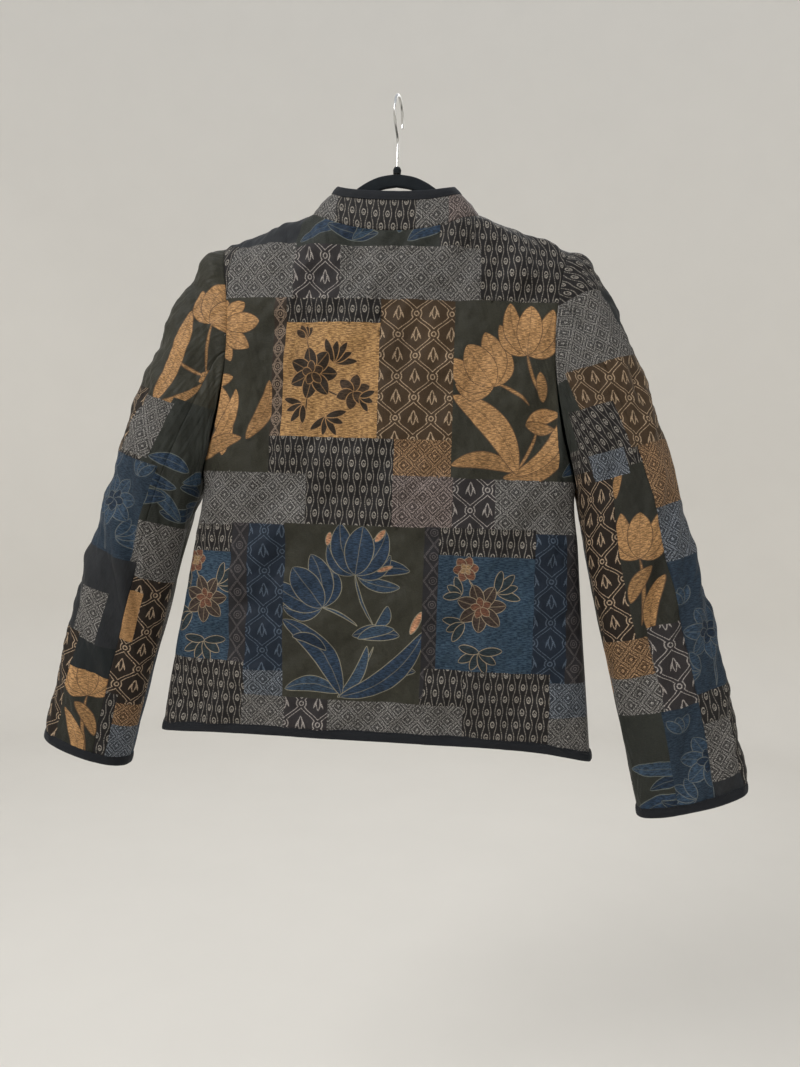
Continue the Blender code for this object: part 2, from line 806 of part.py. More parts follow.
def hook_path():
    """The wire's centreline: a shank, a swing towards the viewer and an open round bend."""
    centre = Vector((0.0, HOOK_WIRE / 2 - HOOK_BEND_RADIUS))
    foot = Vector((0.0, HANGER_TOP_Z + SEAM_HALF_GAP * 2))
    neck = Vector((0.0, HOOK_NECK_Z))

    def on_bend(angle):
        return centre + Vector((math.cos(angle), math.sin(angle))) * HOOK_BEND_RADIUS

    start = on_bend(HOOK_START_ANGLE)
    heading = Vector((math.sin(HOOK_START_ANGLE), -math.cos(HOOK_START_ANGLE)))
    controls = (neck, neck + Vector((0.0, HOOK_LEAD)), start - heading * HOOK_LEAD, start)
    flat = [foot.lerp(neck, i / 3) for i in range(3)]
    flat += geometry.interpolate_bezier(*(v.to_3d() for v in controls), 9)[:-1]
    sweep = HOOK_END_ANGLE - HOOK_START_ANGLE
    turns = range(HOOK_BEND_CELLS + 1)
    flat += [on_bend(HOOK_START_ANGLE + sweep * i / HOOK_BEND_CELLS) for i in turns]
    return [
        Vector((place[0] * math.sin(HOOK_TURN), place[0] * math.cos(HOOK_TURN), place[1]))
        for place in flat
    ]


def make_hook(finish):
    """The bent wire hook."""
    curve = bpy.data.curves.new("hook", "CURVE")
    curve.dimensions = "3D"
    curve.bevel_depth = HOOK_WIRE / 2
    curve.bevel_resolution = 2
    curve.use_fill_caps = True
    path = hook_path()
    spline = curve.splines.new("POLY")
    spline.points.add(len(path) - 1)
    for point, place in zip(spline.points, path, strict=True):
        point.co = (*place, 1.0)
    return link("hook", curve, finish)


def make_hook_socket(finish):
    """The small rounded socket that the wire stands in, turned round the shank."""
    bore = HOOK_WIRE / 2 + 0.0003
    base = HANGER_TOP_Z + SEAM_HALF_GAP * 2
    top = base + HOOK_SOCKET_HEIGHT
    profile = (
        (bore, top),
        (HOOK_SOCKET_RADIUS * 0.72, top - 0.0006),
        (HOOK_SOCKET_RADIUS, top - HOOK_SOCKET_HEIGHT * 0.45),
        (HOOK_SOCKET_RADIUS * 0.92, base),
        (bore, base),
    )
    mesh_edit = bmesh.new()
    points = [mesh_edit.verts.new((x, 0.0, z)) for x, z in profile]
    for a, b in zip(points, points[1:] + points[:1], strict=True):
        mesh_edit.edges.new((a, b))
    mesh = bpy.data.meshes.new("hook_socket")
    mesh_edit.to_mesh(mesh)
    mesh_edit.free()
    socket = link("hook_socket", mesh, finish)
    turn = socket.modifiers.new("turn", "SCREW")
    turn.steps = 20
    turn.render_steps = 20
    turn.use_merge_vertices = True
    turn.merge_threshold = 0.00001
    turn.use_normal_calculate = True
    return socket


class Cloth:
    """All panels of the garment as grids, with the offsets that give them their walls.

    A panel's side is 1 where its columns x rows point outwards, and -1 elsewhere.
    """

    def __init__(self):
        self.sides = {"back": 1, "front_left": 1, "front_right": -1, "left": 1, "right": -1}
        self.shapes = {"left": LEFT_SLEEVE, "right": RIGHT_SLEEVE}
        self.grids = {
            "back": body_grid(mirrored_shares(), -1, NECK_BACK_DROP),
            "front_left": front_grid(-1),
            "front_right": front_grid(1),
            "left": sleeve_rings(LEFT_SLEEVE),
            "right": sleeve_rings(RIGHT_SLEEVE),
        }
        self.add_folds()
        self.add_collar()
        self.normals = {name: self.seam_normals(name) for name in self.grids}
        for side, shape in self.shapes.items():
            self.grids[side] = eased_from_body(self.grids[side], shape)
        self.offsets = {
            name: wall_offsets(rows, self.sides[name], self.normals[name])
            for name, rows in self.grids.items()
        }

    def sided(self, names):
        """Grids with their sides, for shared_normals."""
        return [(self.grids[name], self.sides[name]) for name in names]

    def add_folds(self):
        """Lifts the cloth at its folds. They fade out before the seams."""
        smooth = shared_normals(self.sided(self.grids))
        for name, folds, places in (
            ("back", BACK_FOLDS, body_places),
            ("front_left", FRONT_FOLDS, front_places),
            ("front_right", FRONT_FOLDS, front_places),
            ("left", LEFT_SLEEVE.folds, sleeve_places),
            ("right", RIGHT_SLEEVE.folds, sleeve_places),
        ):
            rows = self.grids[name]
            normals = normals_on(rows, smooth)
            self.grids[name] = folded(rows, normals, places(rows), folds, name in self.shapes)

    def add_collar(self):
        """Stands the collar on the neck seam."""
        neck = neck_loop(*(self.grids[name] for name in ("back", "front_left", "front_right")))
        self.grids["collar"] = collar_rows(neck)
        self.sides["collar"] = 1

    def seam_normals(self, name):
        """Normals shared with all that a panel meets.

        Near the underarm, where the sleeve folds flat on the body, each keeps to its own side.
        """
        group = [name] if name in self.shapes else [n for n in self.grids if n not in self.shapes]
        rows = self.grids[name]
        met = normals_on(rows, shared_normals(self.sided(self.grids)))
        own = normals_on(rows, shared_normals(self.sided(group)))
        return [
            [
                meeting.lerp(alone, underarm_share(point)).normalized()
                for meeting, alone, point in zip(met_row, own_row, row, strict=True)
            ]
            for met_row, own_row, row in zip(met, own, rows, strict=True)
        ]

    def edge_lines(self, edge_of):
        """An edge's points, the next ones in, and the offsets of both, from a picking function."""
        return [
            edge_of(grids, depth) for grids in (self.grids, self.offsets) for depth in (0, 1)
        ]


def hem_line(grids, depth):
    """The hem, or the line next to it, round from one front edge to the other."""
    left, back, right = (grids[name][depth] for name in ("front_left", "back", "front_right"))
    return left + back[1:-1] + right[::-1]


def collar_line(grids, depth):
    """The collar's top edge, or the line next to it."""
    return grids["collar"][-1 - depth]


def front_edge_line(side, grids, depth):
    """A front edge with the collar's end above it, or the line next to it."""
    front = [row[depth] for row in grids[f"front_{side}"]]
    end = depth if side == "left" else -1 - depth
    return front + [row[end] for row in grids["collar"][1:]]


def make_body(garment, cloth, edging):
    """Back, fronts and collar, with the strips that bind their free edges."""
    gap = SEAM_HALF_GAP
    for name, gaps in (
        ("back", (0.0, gap, gap, gap)),
        ("front_left", (0.0, gap, gap, 0.0)),
        ("front_right", (0.0, gap, gap, 0.0)),
        ("collar", (COLLAR_GAP, 0.0, 0.0, 0.0)),
    ):
        trimmed = trim(garment.grids[name], garment.sides[name], garment.normals[name], gaps)
        cloth_wall(name, trimmed, garment.offsets[name], cloth)
    binding("hem_binding", garment.edge_lines(hem_line), edging)
    binding("collar_binding", garment.edge_lines(collar_line), edging)
    corner = BINDING_FLANGE + SEAM_HALF_GAP * 2
    for side in garment.shapes:
        lines = garment.edge_lines(partial(front_edge_line, side))
        for _ in range(2):
            lines = [line[::-1] for line in cut_short(lines, corner)]
        binding(f"front_edge_binding_{side}", lines, edging)


def make_sleeve(garment, side, cloth, edging):
    """An upper and an under sleeve, and the strip that binds the cuff."""
    shape, gap = garment.shapes[side], SEAM_HALF_GAP
    rings, normals, offsets = (
        sleeve_split(source[side], shape)
        for source in (garment.grids, garment.normals, garment.offsets)
    )
    for part, rows in rings.items():
        trimmed = trim(rows, garment.sides[side], normals[part], (gap, gap, 0.0, gap))
        cloth_wall(f"sleeve_{side}_{part}", trimmed, offsets[part], cloth)
    cuff = garment.edge_lines(lambda grids, depth: grids[side][-1 - depth][:-1])
    binding(f"cuff_binding_{side}", cuff, edging, cyclic=True)


def clear_scene():
    """Removes what the opened scene holds."""
    for thing in list(bpy.data.objects):
        bpy.data.objects.remove(thing)


def main():
    """Builds the whole jacket and its hanger."""
    clear_scene()
    jacket = bpy.data.collections.new("jacket")
    bpy.context.scene.collection.children.link(jacket)
    cloth = material("patchwork_cloth", CLOTH_COLOUR, 0.85, sheen=0.2)
    edging = material("binding_cloth", BINDING_COLOUR, 0.9)
    flock = material("black_flock", FLOCK_COLOUR, 0.95, sheen=0.4)
    steel = material("hook_steel", STEEL_COLOUR, 0.22, metallic=1.0)
    garment = Cloth()
    make_body(garment, cloth, edging)
    for side in garment.shapes:
        make_sleeve(garment, side, cloth, edging)
    make_hanger(flock)
    make_hook_socket(flock)
    make_hook(steel)


main()
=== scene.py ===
"""The looks of a patchwork jacket hanging from its hanger, seen from the wearer's back.

Metres, +Z up, with the origin where the hook rests. Every cloth piece is a thin shell on the form
of its solid: the same sections, edges and folds on a finer grid, with softer creases added. The
cloth is one jacquard whose woven patches are laid out as rectangles in flat cloth coordinates, and
each patch takes its own woven finish.
"""

import logging
import math
from collections import namedtuple
from collections.abc import Sequence
from dataclasses import dataclass, field
from enum import Enum

import bpy
import numpy as np
from mathutils import Matrix, Vector, geometry


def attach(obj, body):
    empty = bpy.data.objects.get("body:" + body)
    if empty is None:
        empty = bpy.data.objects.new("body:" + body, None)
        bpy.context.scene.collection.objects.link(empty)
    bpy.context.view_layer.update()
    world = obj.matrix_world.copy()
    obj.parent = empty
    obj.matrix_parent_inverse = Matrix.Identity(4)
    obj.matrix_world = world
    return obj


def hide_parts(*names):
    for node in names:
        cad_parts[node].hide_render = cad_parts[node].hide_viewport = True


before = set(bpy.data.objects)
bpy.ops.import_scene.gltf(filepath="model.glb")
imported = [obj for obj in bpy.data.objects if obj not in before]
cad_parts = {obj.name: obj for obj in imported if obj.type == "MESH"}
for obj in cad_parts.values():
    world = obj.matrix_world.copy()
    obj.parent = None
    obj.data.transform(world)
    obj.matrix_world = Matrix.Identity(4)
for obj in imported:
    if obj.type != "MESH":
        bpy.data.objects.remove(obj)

LOG = logging.getLogger("jacket")
BODY = "root"
WEAVE_MAP = "weave"
Colour = tuple[float, float, float]
Grid = np.ndarray

# Heights and widths of the garment, below the hook's rest
NECK_SIDE_Z = -0.1275
NECK_BACK_DROP = 0.0295
NECK_FRONT_DROP = 0.082
ARMHOLE_TOP_Z = -0.1655
UNDERARM_Z = -0.427
HEM_Z = -0.7085
NECK_HALF_WIDTH = 0.093
ARMHOLE_TOP_X = 0.190
FRONT_EDGE_X = 0.0022

# Cloth, and the counts of its grids, whose points lie about 3 mm apart
CLOTH_HALF = 0.0007
SEAM_RIM = 0.0005
NECK_COLUMNS = 38
SHOULDER_COLUMNS = 40
HEM_ROWS = 96
ARMHOLE_ROWS = 90
SLEEVE_ROWS = 210
COLLAR_ROWS = 18

# A sleeve's back seam lies on one of these places round it. A shell thins out towards a seam, and
# a fold runs out towards an edge, over so many points
SEAM_PLACES = 20
SEAM_REACH = 3
FOLD_REACH = 4

# How near a patch's edge a point has to be to be drawn onto it, and how far at most, in cells
HALF_CELL = 0.51
MOST_DRAWN = 0.7

# The baking map holds a panel's outer face in its left half and its lining in its right half
BAKE_HALF = (0.48, 0.98)
BAKE_MARGIN = 0.01

BodySection = namedtuple("BodySection", "z half_width back_depth front_depth")
BODY_SECTIONS = (
    BodySection(-0.720, 0.2405, 0.034, 0.034),
    BodySection(-0.640, 0.2320, 0.036, 0.036),
    BodySection(-0.560, 0.2230, 0.039, 0.038),
    BodySection(-0.490, 0.2160, 0.042, 0.040),
    BodySection(-0.427, 0.2100, 0.044, 0.042),
    BodySection(-0.380, 0.2220, 0.045, 0.043),
    BodySection(-0.310, 0.2340, 0.045, 0.043),
    BodySection(-0.240, 0.2400, 0.045, 0.043),
    BodySection(-0.120, 0.2420, 0.044, 0.042),
)

ArmholePoint = namedtuple("ArmholePoint", "z x")
ARMHOLE_CURVE = (
    ArmholePoint(-0.427, 0.2100),
    ArmholePoint(-0.411, 0.2045),
    ArmholePoint(-0.372, 0.1915),
    ArmholePoint(-0.330, 0.1830),
    ArmholePoint(-0.277, 0.1780),
    ArmholePoint(-0.237, 0.1785),
    ArmholePoint(-0.202, 0.1830),
    ArmholePoint(-0.1655, 0.1900),
)

EdgePoint = namedtuple("EdgePoint", "x z")
SLEEVE_OUTER_EDGE = (
    EdgePoint(0.190, -0.1655),
    EdgePoint(0.211, -0.1745),
    EdgePoint(0.233, -0.208),
    EdgePoint(0.264, -0.272),
    EdgePoint(0.290, -0.338),
    EdgePoint(0.316, -0.417),
    EdgePoint(0.340, -0.497),
    EdgePoint(0.362, -0.577),
    EdgePoint(0.384, -0.659),
    EdgePoint(0.401, -0.7405),
)
SLEEVE_INNER_EDGE = (
    EdgePoint(0.210, -0.427),
    EdgePoint(0.2132, -0.442),
    EdgePoint(0.2215, -0.487),
    EdgePoint(0.2345, -0.547),
    EdgePoint(0.2550, -0.630),
    EdgePoint(0.2905, -0.775),
)

SleeveSection = namedtuple("SleeveSection", "along half_depth centre_y")
Fold = namedtuple("Fold", "along around half_length half_width tilt_deg depth")

# The folds that the solids have: place on the panel, size, tilt and depth
BACK_FOLDS = (
    Fold(0.350, -0.128, 0.095, 0.011, 2.0, -0.0045),
    Fold(0.340, -0.104, 0.085, 0.010, -3.0, 0.0030),
    Fold(0.345, 0.112, 0.075, 0.012, 4.0, -0.0035),
    Fold(0.330, 0.168, 0.080, 0.013, 6.0, -0.0045),
    Fold(0.120, -0.060, 0.110, 0.024, -5.0, 0.0030),
    Fold(0.110, 0.070, 0.100, 0.026, 4.0, -0.0030),
    Fold(0.100, 0.178, 0.090, 0.020, -3.0, 0.0030),
)
FRONT_FOLDS = (
    Fold(0.340, 0.120, 0.090, 0.014, -6.0, -0.0040),
    Fold(0.330, 0.160, 0.080, 0.013, -10.0, 0.0030),
    Fold(0.130, 0.080, 0.110, 0.026, 4.0, -0.0035),
    Fold(0.110, 0.160, 0.090, 0.022, -4.0, 0.0030),
)
RIGHT_SLEEVE_FOLDS = (
    Fold(0.250, 0.085, 0.075, 0.026, -24.0, 0.008),
    Fold(0.305, 0.080, 0.070, 0.017, -20.0, -0.009),
    Fold(0.395, 0.060, 0.060, 0.030, -28.0, 0.004),
    Fold(0.300, 0.330, 0.060, 0.020, 20.0, -0.006),
)
LEFT_SLEEVE_FOLDS = (
    Fold(0.215, 0.075, 0.070, 0.020, -32.0, 0.006),
    Fold(0.255, 0.070, 0.070, 0.015, -28.0, -0.007),
    Fold(0.300, 0.070, 0.060, 0.018, -24.0, 0.005),
    Fold(0.345, 0.065, 0.050, 0.016, -20.0, -0.005),
    Fold(0.300, 0.330, 0.060, 0.020, 20.0, -0.006),
)


def through(knots: Sequence[float], values: Sequence[float], at: Grid) -> Grid:
    """Reads a smooth curve through a table's points.

    Args:
        knots: Where the points lie, rising.
        values: The value at each point.
        at: The places to read.

    Returns:
        The curve's value at each place.
    """
    knots, values = np.asarray(knots, float), np.asarray(values, float)
    slopes = np.gradient(values, knots)
    at = np.clip(at, knots[0], knots[-1])
    cell = np.clip(np.searchsorted(knots, at) - 1, 0, len(knots) - 2)
    width = knots[cell + 1] - knots[cell]
    share = (at - knots[cell]) / width
    rise = values[cell + 1] - values[cell]
    bend_in = slopes[cell] * width - rise
    bend_out = rise - slopes[cell + 1] * width
    bend = bend_in * (1 - share) + bend_out * share
    return values[cell] + rise * share + share * (1 - share) * bend


def read(table: Sequence, knot: str, name: str, at: Grid) -> Grid:
    """Reads one named column of a table against another."""
    return through([getattr(r, knot) for r in table], [getattr(r, name) for r in table], at)


def smooth_step(low: float, high: float, value: Grid) -> Grid:
    """0 below low, 1 above high, with an S-shaped rise between."""
    share = np.clip((value - low) / (high - low), 0.0, 1.0)
    return share * share * (3 - 2 * share)


def travelled(points: Grid, axis: int) -> Grid:
    """Distance along an axis of a grid of points, from its first line.

    Args:
        points: The grid of points.
        axis: The axis to travel along.

    Returns:
        The distance at each point.
    """
    step = np.linalg.norm(np.diff(points, axis=axis), axis=2)
    before = [(1, 0), (0, 0)] if axis == 0 else [(0, 0), (1, 0)]
    return np.cumsum(np.pad(step, before), axis=axis)


def gone_along(line: Grid) -> Grid:
    """Distance along a line of points, from its first."""
    return np.cumsum(np.linalg.norm(np.diff(line, axis=0, prepend=line[:1]), axis=1))


def unit(vectors: Grid) -> Grid:
    """Vectors drawn out or in to length 1."""
    return vectors / np.maximum(np.linalg.norm(vectors, axis=-1, keepdims=True), 1e-12)


def normals_of(points: Grid, side: int) -> Grid:
    """Outward normals of a grid. Side is 1 where its columns x rows point outwards."""
    return unit(np.cross(np.gradient(points, axis=1), np.gradient(points, axis=0)) * side)


def fold_height(fold: Fold, along: Grid, around: Grid) -> Grid:
    """How far one fold lifts or sinks the cloth at each place on its panel.

    Args:
        fold: The fold.
        along: The first fold coordinate.
        around: The second.

    Returns:
        The height at each place.
    """
    tilt = math.radians(fold.tilt_deg)
    off_along, off_around = along - fold.along, around - fold.around
    lengthways = off_along * math.cos(tilt) + off_around * math.sin(tilt)
    sideways = off_around * math.cos(tilt) - off_along * math.sin(tilt)
    reach = np.minimum(np.abs(lengthways) / fold.half_length, 1.0)
    return fold.depth * (1 - reach**2) ** 2 * np.exp(-((sideways / fold.half_width) ** 2))


class Ripple:
    """Soft, uneven small waves over the cloth, the same every run."""

    def __init__(self, seed: int, shortest: float, longest: float, waves: int = 40) -> None:
        """Draws the waves.

        Args:
            seed: Which set of waves to draw.
            shortest: The shortest wavelength.
            longest: The longest wavelength.
            waves: How many waves there are.
        """
        draw = np.random.default_rng(seed)
        length = shortest * (longest / shortest) ** draw.random(waves)
        heading = 2 * math.pi * draw.random(waves)
        self.phase = 2 * math.pi * draw.random(waves)
        self.across = 2 * math.pi / length * np.cos(heading)
        self.up = 2 * math.pi / length * np.sin(heading)

    def __call__(self, u: Grid, v: Grid) -> Grid:
        """The waves' height at each place, with a spread of about 1.

        Args:
            u: The place across.
            v: The place up.

        Returns:
            The height at each place.
        """
        total = np.zeros(np.broadcast(u, v).shape)
        for across, up, phase in zip(self.across, self.up, self.phase, strict=True):
            total += np.sin(across * u + up * v + phase)
        return total * math.sqrt(2 / len(self.phase))


@dataclass
class BodyForm:
    """The shape of the back and the fronts."""

    hem_dip_left: float = 0.008
    hem_dip_right: float = 0.016
    hem_dip_power: float = 5.0
    left_flare: float = 0.013
    shoulder_rounding: float = 0.022
    shoulder_fullness: float = 0.7
    neckline_fullness: float = 0.78
    squareness: float = 3.0
    armhole_row_crowding: float = 1.5

    def half_shares(self) -> Grid:
        """Column places from the middle out to the side seam, with one on the neck point.

        Returns:
            The places as shares of the half width.
        """
        neck = NECK_HALF_WIDTH / ARMHOLE_TOP_X
        outside = np.linspace(neck, 1, SHOULDER_COLUMNS + 1)[1:]
        return np.concatenate([np.linspace(0, neck, NECK_COLUMNS + 1), outside])

    def shoulder_z(self, x: Grid) -> Grid:
        """Height of the shoulder ridge, carried on over the neck."""
        slope = (ARMHOLE_TOP_Z - NECK_SIDE_Z) / (ARMHOLE_TOP_X - NECK_HALF_WIDTH)
        return NECK_SIDE_Z + slope * (np.abs(x) - NECK_HALF_WIDTH)

    def neckline_z(self, x: Grid, drop: float) -> Grid:
        """Height of the neck seam, which dips by drop at the centre."""
        share = np.minimum(np.abs(x) / NECK_HALF_WIDTH, 1.0)
        return NECK_SIDE_Z - drop * (1 - share**2) ** self.neckline_fullness

    def depth(self, x: Grid, z: Grid, face: int) -> Grid:
        """Distance of the back (face -1) or front (face 1) from the hanger's plane.

        Args:
            x: The place across.
            z: The height.
            face: -1 for the back and 1 for a front.

        Returns:
            The distance at each place.
        """
        depth = read(BODY_SECTIONS, "z", "back_depth" if face < 0 else "front_depth", z)
        reach = np.minimum(np.abs(x) / read(BODY_SECTIONS, "z", "half_width", z), 1.0)
        round_off = (1 - reach**self.squareness) ** (1 / self.squareness)
        fall = np.maximum(self.shoulder_z(x) - z, 0.0)
        crown = (1 - np.exp(-fall / self.shoulder_rounding)) ** self.shoulder_fullness
        return depth * round_off * crown

    def row_edges(self) -> tuple[Grid, Grid]:
        """Height and half width where each row meets the side seam or the armhole.

        Returns:
            The heights, and the half widths.
        """
        body = np.linspace(HEM_Z, UNDERARM_Z, HEM_ROWS + 1)[:-1]
        left_over = (1 - np.linspace(0, 1, ARMHOLE_ROWS + 1)) ** self.armhole_row_crowding
        arm = UNDERARM_Z + (ARMHOLE_TOP_Z - UNDERARM_Z) * (1 - left_over)
        below = read(BODY_SECTIONS, "z", "half_width", body)
        return np.concatenate([body, arm]), np.concatenate([below, read(ARMHOLE_CURVE, "z", "x", arm)])

    def grid(self, shares: Grid, face: int, neck_drop: float) -> Grid:
        """Points of the back or a front, from the hem up.

        Args:
            shares: Signed column places, 1 at the side seam.
            face: -1 for the back and 1 for a front.
            neck_drop: How deep the neck seam dips.

        Returns:
            The points, by row and column.
        """
        edge_z, edge_x = self.row_edges()
        top_x = shares * ARMHOLE_TOP_X
        on_neck = np.abs(top_x) < NECK_HALF_WIDTH
        top_z = np.where(on_neck, self.neckline_z(top_x, neck_drop), self.shoulder_z(top_x))
        z = HEM_Z + np.outer(edge_z - HEM_Z, (top_z - HEM_Z) / (ARMHOLE_TOP_Z - HEM_Z))
        x = np.outer(edge_x, shares)
        width = read(BODY_SECTIONS, "z", "half_width", z)
        down = smooth_step(0.0, 1.0, (UNDERARM_Z - z) / (UNDERARM_Z - HEM_Z))
        dip = np.where(x < 0, self.hem_dip_left, self.hem_dip_right)
        flare = np.where(x < 0, self.left_flare, 0.0)
        hung_z = z - dip * down * np.minimum(np.abs(x) / width, 1.0) ** self.hem_dip_power
        hung_x = x * (1 + flare * down / width)
        return np.stack([hung_x, face * self.depth(x, z, face), hung_z], axis=2)

    def armhole(self, sign: int) -> Grid:
        """The armhole seam's points, from the underarm up the back and down the front.

        Args:
            sign: -1 for the left armhole and 1 for the right.

        Returns:
            The points, once round.
        """
        edge = np.array([float(sign)])
        back = self.grid(edge, -1, NECK_BACK_DROP)[HEM_ROWS:, 0]
        front = self.grid(edge, 1, NECK_FRONT_DROP)[HEM_ROWS:, 0]
        return np.concatenate([back, front[-2:0:-1]])


@dataclass
class SleeveForm:
    """The shape of one sleeve, from its armhole to its cuff."""

    sign: int
    reach: float
    narrow: float
    back_seam: int
    sections: tuple[SleeveSection, ...]
    folds: tuple[Fold, ...]
    squareness: float = 2.2
    armhole_hold: float = 0.32
    narrowing_start: float = 0.15
    narrowing_end: float = 0.50
    inner_linear_share: float = 0.12
    inner_power: float = 2.4
    underarm_relief: float = 0.0030
    folded_seam_height: float = 0.060
    free_seam_height: float = 0.150

    def edge(self, table: Sequence[EdgePoint], share: Grid) -> Grid:
        """Points of a sleeve edge at shares of its length.

        Args:
            table: The edge's points.
            share: Shares of its length.

        Returns:
            The points.
        """
        places = np.array(table)
        gone = gone_along(places)
        at = share * gone[-1]
        x, z = (through(gone, places[:, k], at) for k in (0, 1))
        return np.stack([x, np.zeros_like(at), z], axis=1)

    def rings(self, along: Grid, count: int) -> Grid:
        """Rings round the sleeve, each from the underarm over the back.

        Args:
            along: Shares of the sleeve's length, one for each ring.
            count: Points in a ring.

        Returns:
            The points, by ring.
        """
        linear = self.inner_linear_share
        outer = self.edge(SLEEVE_OUTER_EDGE, along)
        inner = self.edge(SLEEVE_INNER_EDGE, linear * along + (1 - linear) * along**self.inner_power)
        slimmed = smooth_step(self.narrowing_start, self.narrowing_end, along)
        narrow = (1 - (1 - self.narrow) * slimmed)[:, None]
        middle, half = (outer + inner) / 2, (outer - inner) / 2 * narrow
        middle = middle + half * (1 - narrow)
        depth = read(self.sections, "along", "half_depth", along)[:, None]
        centre_y = read(self.sections, "along", "centre_y", along)[:, None]
        angle = 2 * math.pi * np.arange(count) / count
        power = 2 / self.squareness
        across = -np.sign(np.cos(angle)) * np.abs(np.cos(angle)) ** power
        toward = -np.sign(np.sin(angle)) * np.abs(np.sin(angle)) ** power
        ring = middle[:, None, :] + half[:, None, :] * across[None, :, None]
        ring[:, :, 1] += centre_y + depth * toward
        ring[:, :, 0] *= self.sign
        return ring

    def grid(self, armhole: Grid) -> Grid:
        """The whole sleeve's points, from the armhole seam to the cuff, closed round.

        Args:
            armhole: The armhole seam's points.

        Returns:
            The points, by ring.
        """
        along = np.linspace(0, 1, SLEEVE_ROWS + 1)
        hold = (1 - smooth_step(0.0, self.armhole_hold, along))[:, None]
        first = self.rings(np.zeros(1), len(armhole))[0]
        ring = self.rings(along * self.reach, len(armhole)) + (armhole - first) * hold[:, :, None]
        ring[0] = armhole
        above = armhole[:, 2] - UNDERARM_Z
        near = 1 - smooth_step(self.folded_seam_height, self.free_seam_height, above)
        ring[:, :, 0] += self.sign * self.underarm_relief * hold * near
        return np.concatenate([ring, ring[:, :1]], axis=1)


@dataclass
class Finisher:
    """Builds one material's nodes."""

    name: str

    def __post_init__(self) -> None:
        """Makes an empty node material with its main shader."""
        self.material = bpy.data.materials.new(self.name)
        self.material.use_nodes = True
        self.tree = self.material.node_tree
        self.tree.nodes.clear()
        self.output = self.tree.nodes.new("ShaderNodeOutputMaterial")
        self.shader = self.tree.nodes.new("ShaderNodeBsdfPrincipled")
        self.tree.links.new(self.shader.outputs["BSDF"], self.output.inputs["Surface"])

    def node(self, kind: str, settings: dict, inputs: dict) -> bpy.types.Node:
        """Makes any node.

        Args:
            kind: The node's type.
            settings: Its properties, such as a Math node's operation, or a ramp's stops.
            inputs: The value or link of each socket, by name or number.

        Returns:
            The node.
        """
        made = self.tree.nodes.new(kind)
        for name, setting in settings.items():
            setattr(made, name, setting)
        for name, given in inputs.items():
            given = given.socket if isinstance(given, Value) else given
            if isinstance(given, bpy.types.NodeSocket):
                self.tree.links.new(given, made.inputs[name])
            else:
                made.inputs[name].default_value = given
        return made

    def mix(self, share: "Value | float", first: object, second: object) -> bpy.types.NodeSocket:
        """Mixes two colours."""
        inputs = {0: share, 6: self.colour(first), 7: self.colour(second)}
        return self.node("ShaderNodeMix", {"data_type": "RGBA"}, inputs).outputs[2]

    def shade(self, colour: object, factor: "Value | float") -> bpy.types.NodeSocket:
        """A colour made darker or lighter by a factor.

        Args:
            colour: The colour.
            factor: The factor.

        Returns:
            The new colour's socket.
        """
        inputs = {0: self.colour(colour)[:3] if isinstance(colour, tuple) else colour}
        made = self.node("ShaderNodeVectorMath", {"operation": "SCALE"}, inputs | {"Scale": factor})
        return made.outputs[0]

    def colour(self, given: object) -> object:
        """A colour as a socket's value, or the link that was given."""
        return (*given, 1.0) if isinstance(given, tuple) and len(given) == 3 else given

    def place(self) -> "tuple[Value, Value]":
        """Flat cloth coordinates in millimetres.

        Returns:
            The places across and up.
        """
        flat = self.node("ShaderNodeUVMap", {"uv_map": WEAVE_MAP}, {}).outputs[0]
        parts = self.node("ShaderNodeSeparateXYZ", {}, {0: flat}).outputs
        return Value(self, parts[0]) * 1000.0, Value(self, parts[1]) * 1000.0

    def noise(self, x: "Value", y: "Value", size: tuple[float, float], detail: float = 1.0) -> "Value":
        """Smooth noise of about 0 to 1, with lumps of a given size across and up.

        Args:
            x: The place across.
            y: The place up.
            size: The lumps' width and height, in the unit of the place.
            detail: How much finer noise is added.

        Returns:
            The noise.
        """
        at = self.node("ShaderNodeCombineXYZ", {}, {0: x / size[0], 1: y / size[1]}).outputs[0]
        inputs = {"Vector": at, "Scale": 1.0, "Detail": detail}
        return Value(self, self.node("ShaderNodeTexNoise", {"noise_dimensions": "2D"}, inputs).outputs[0])

    def solid_noise(self, scale: float, detail: float = 2.0, squeeze: Colour | None = None) -> "Value":
        """Noise of about 0 to 1 through the piece itself, drawn out along an axis that is squeezed.

        Args:
            scale: Lumps per metre.
            detail: How much finer noise is added.
            squeeze: How much each axis is squeezed.

        Returns:
            The noise.
        """
        place = self.node("ShaderNodeTexCoord", {}, {}).outputs["Object"]
        if squeeze:
            inputs = {0: place, 1: squeeze}
            place = self.node("ShaderNodeVectorMath", {"operation": "MULTIPLY"}, inputs).outputs[0]
        inputs = {"Vector": place, "Scale": scale, "Detail": detail}
        return Value(self, self.node("ShaderNodeTexNoise", {}, inputs).outputs[0])

    def bump(self, height: "Value", distance: float, strength: float) -> None:
        """Lets a height in the unit of distance raise the surface."""
        inputs = {"Height": height, "Distance": distance, "Strength": strength}
        self.feed(Normal=self.node("ShaderNodeBump", {}, inputs).outputs[0])

    def feed(self, **sockets: object) -> None:
        """Gives the main shader values or links, with _ for a space in a socket's name."""
        for name, given in sockets.items():
            target = self.shader.inputs[name.replace("_", " ")]
            given = given.socket if isinstance(given, Value) else self.colour(given)
            if isinstance(given, bpy.types.NodeSocket):
                self.tree.links.new(given, target)
            else:
                target.default_value = given


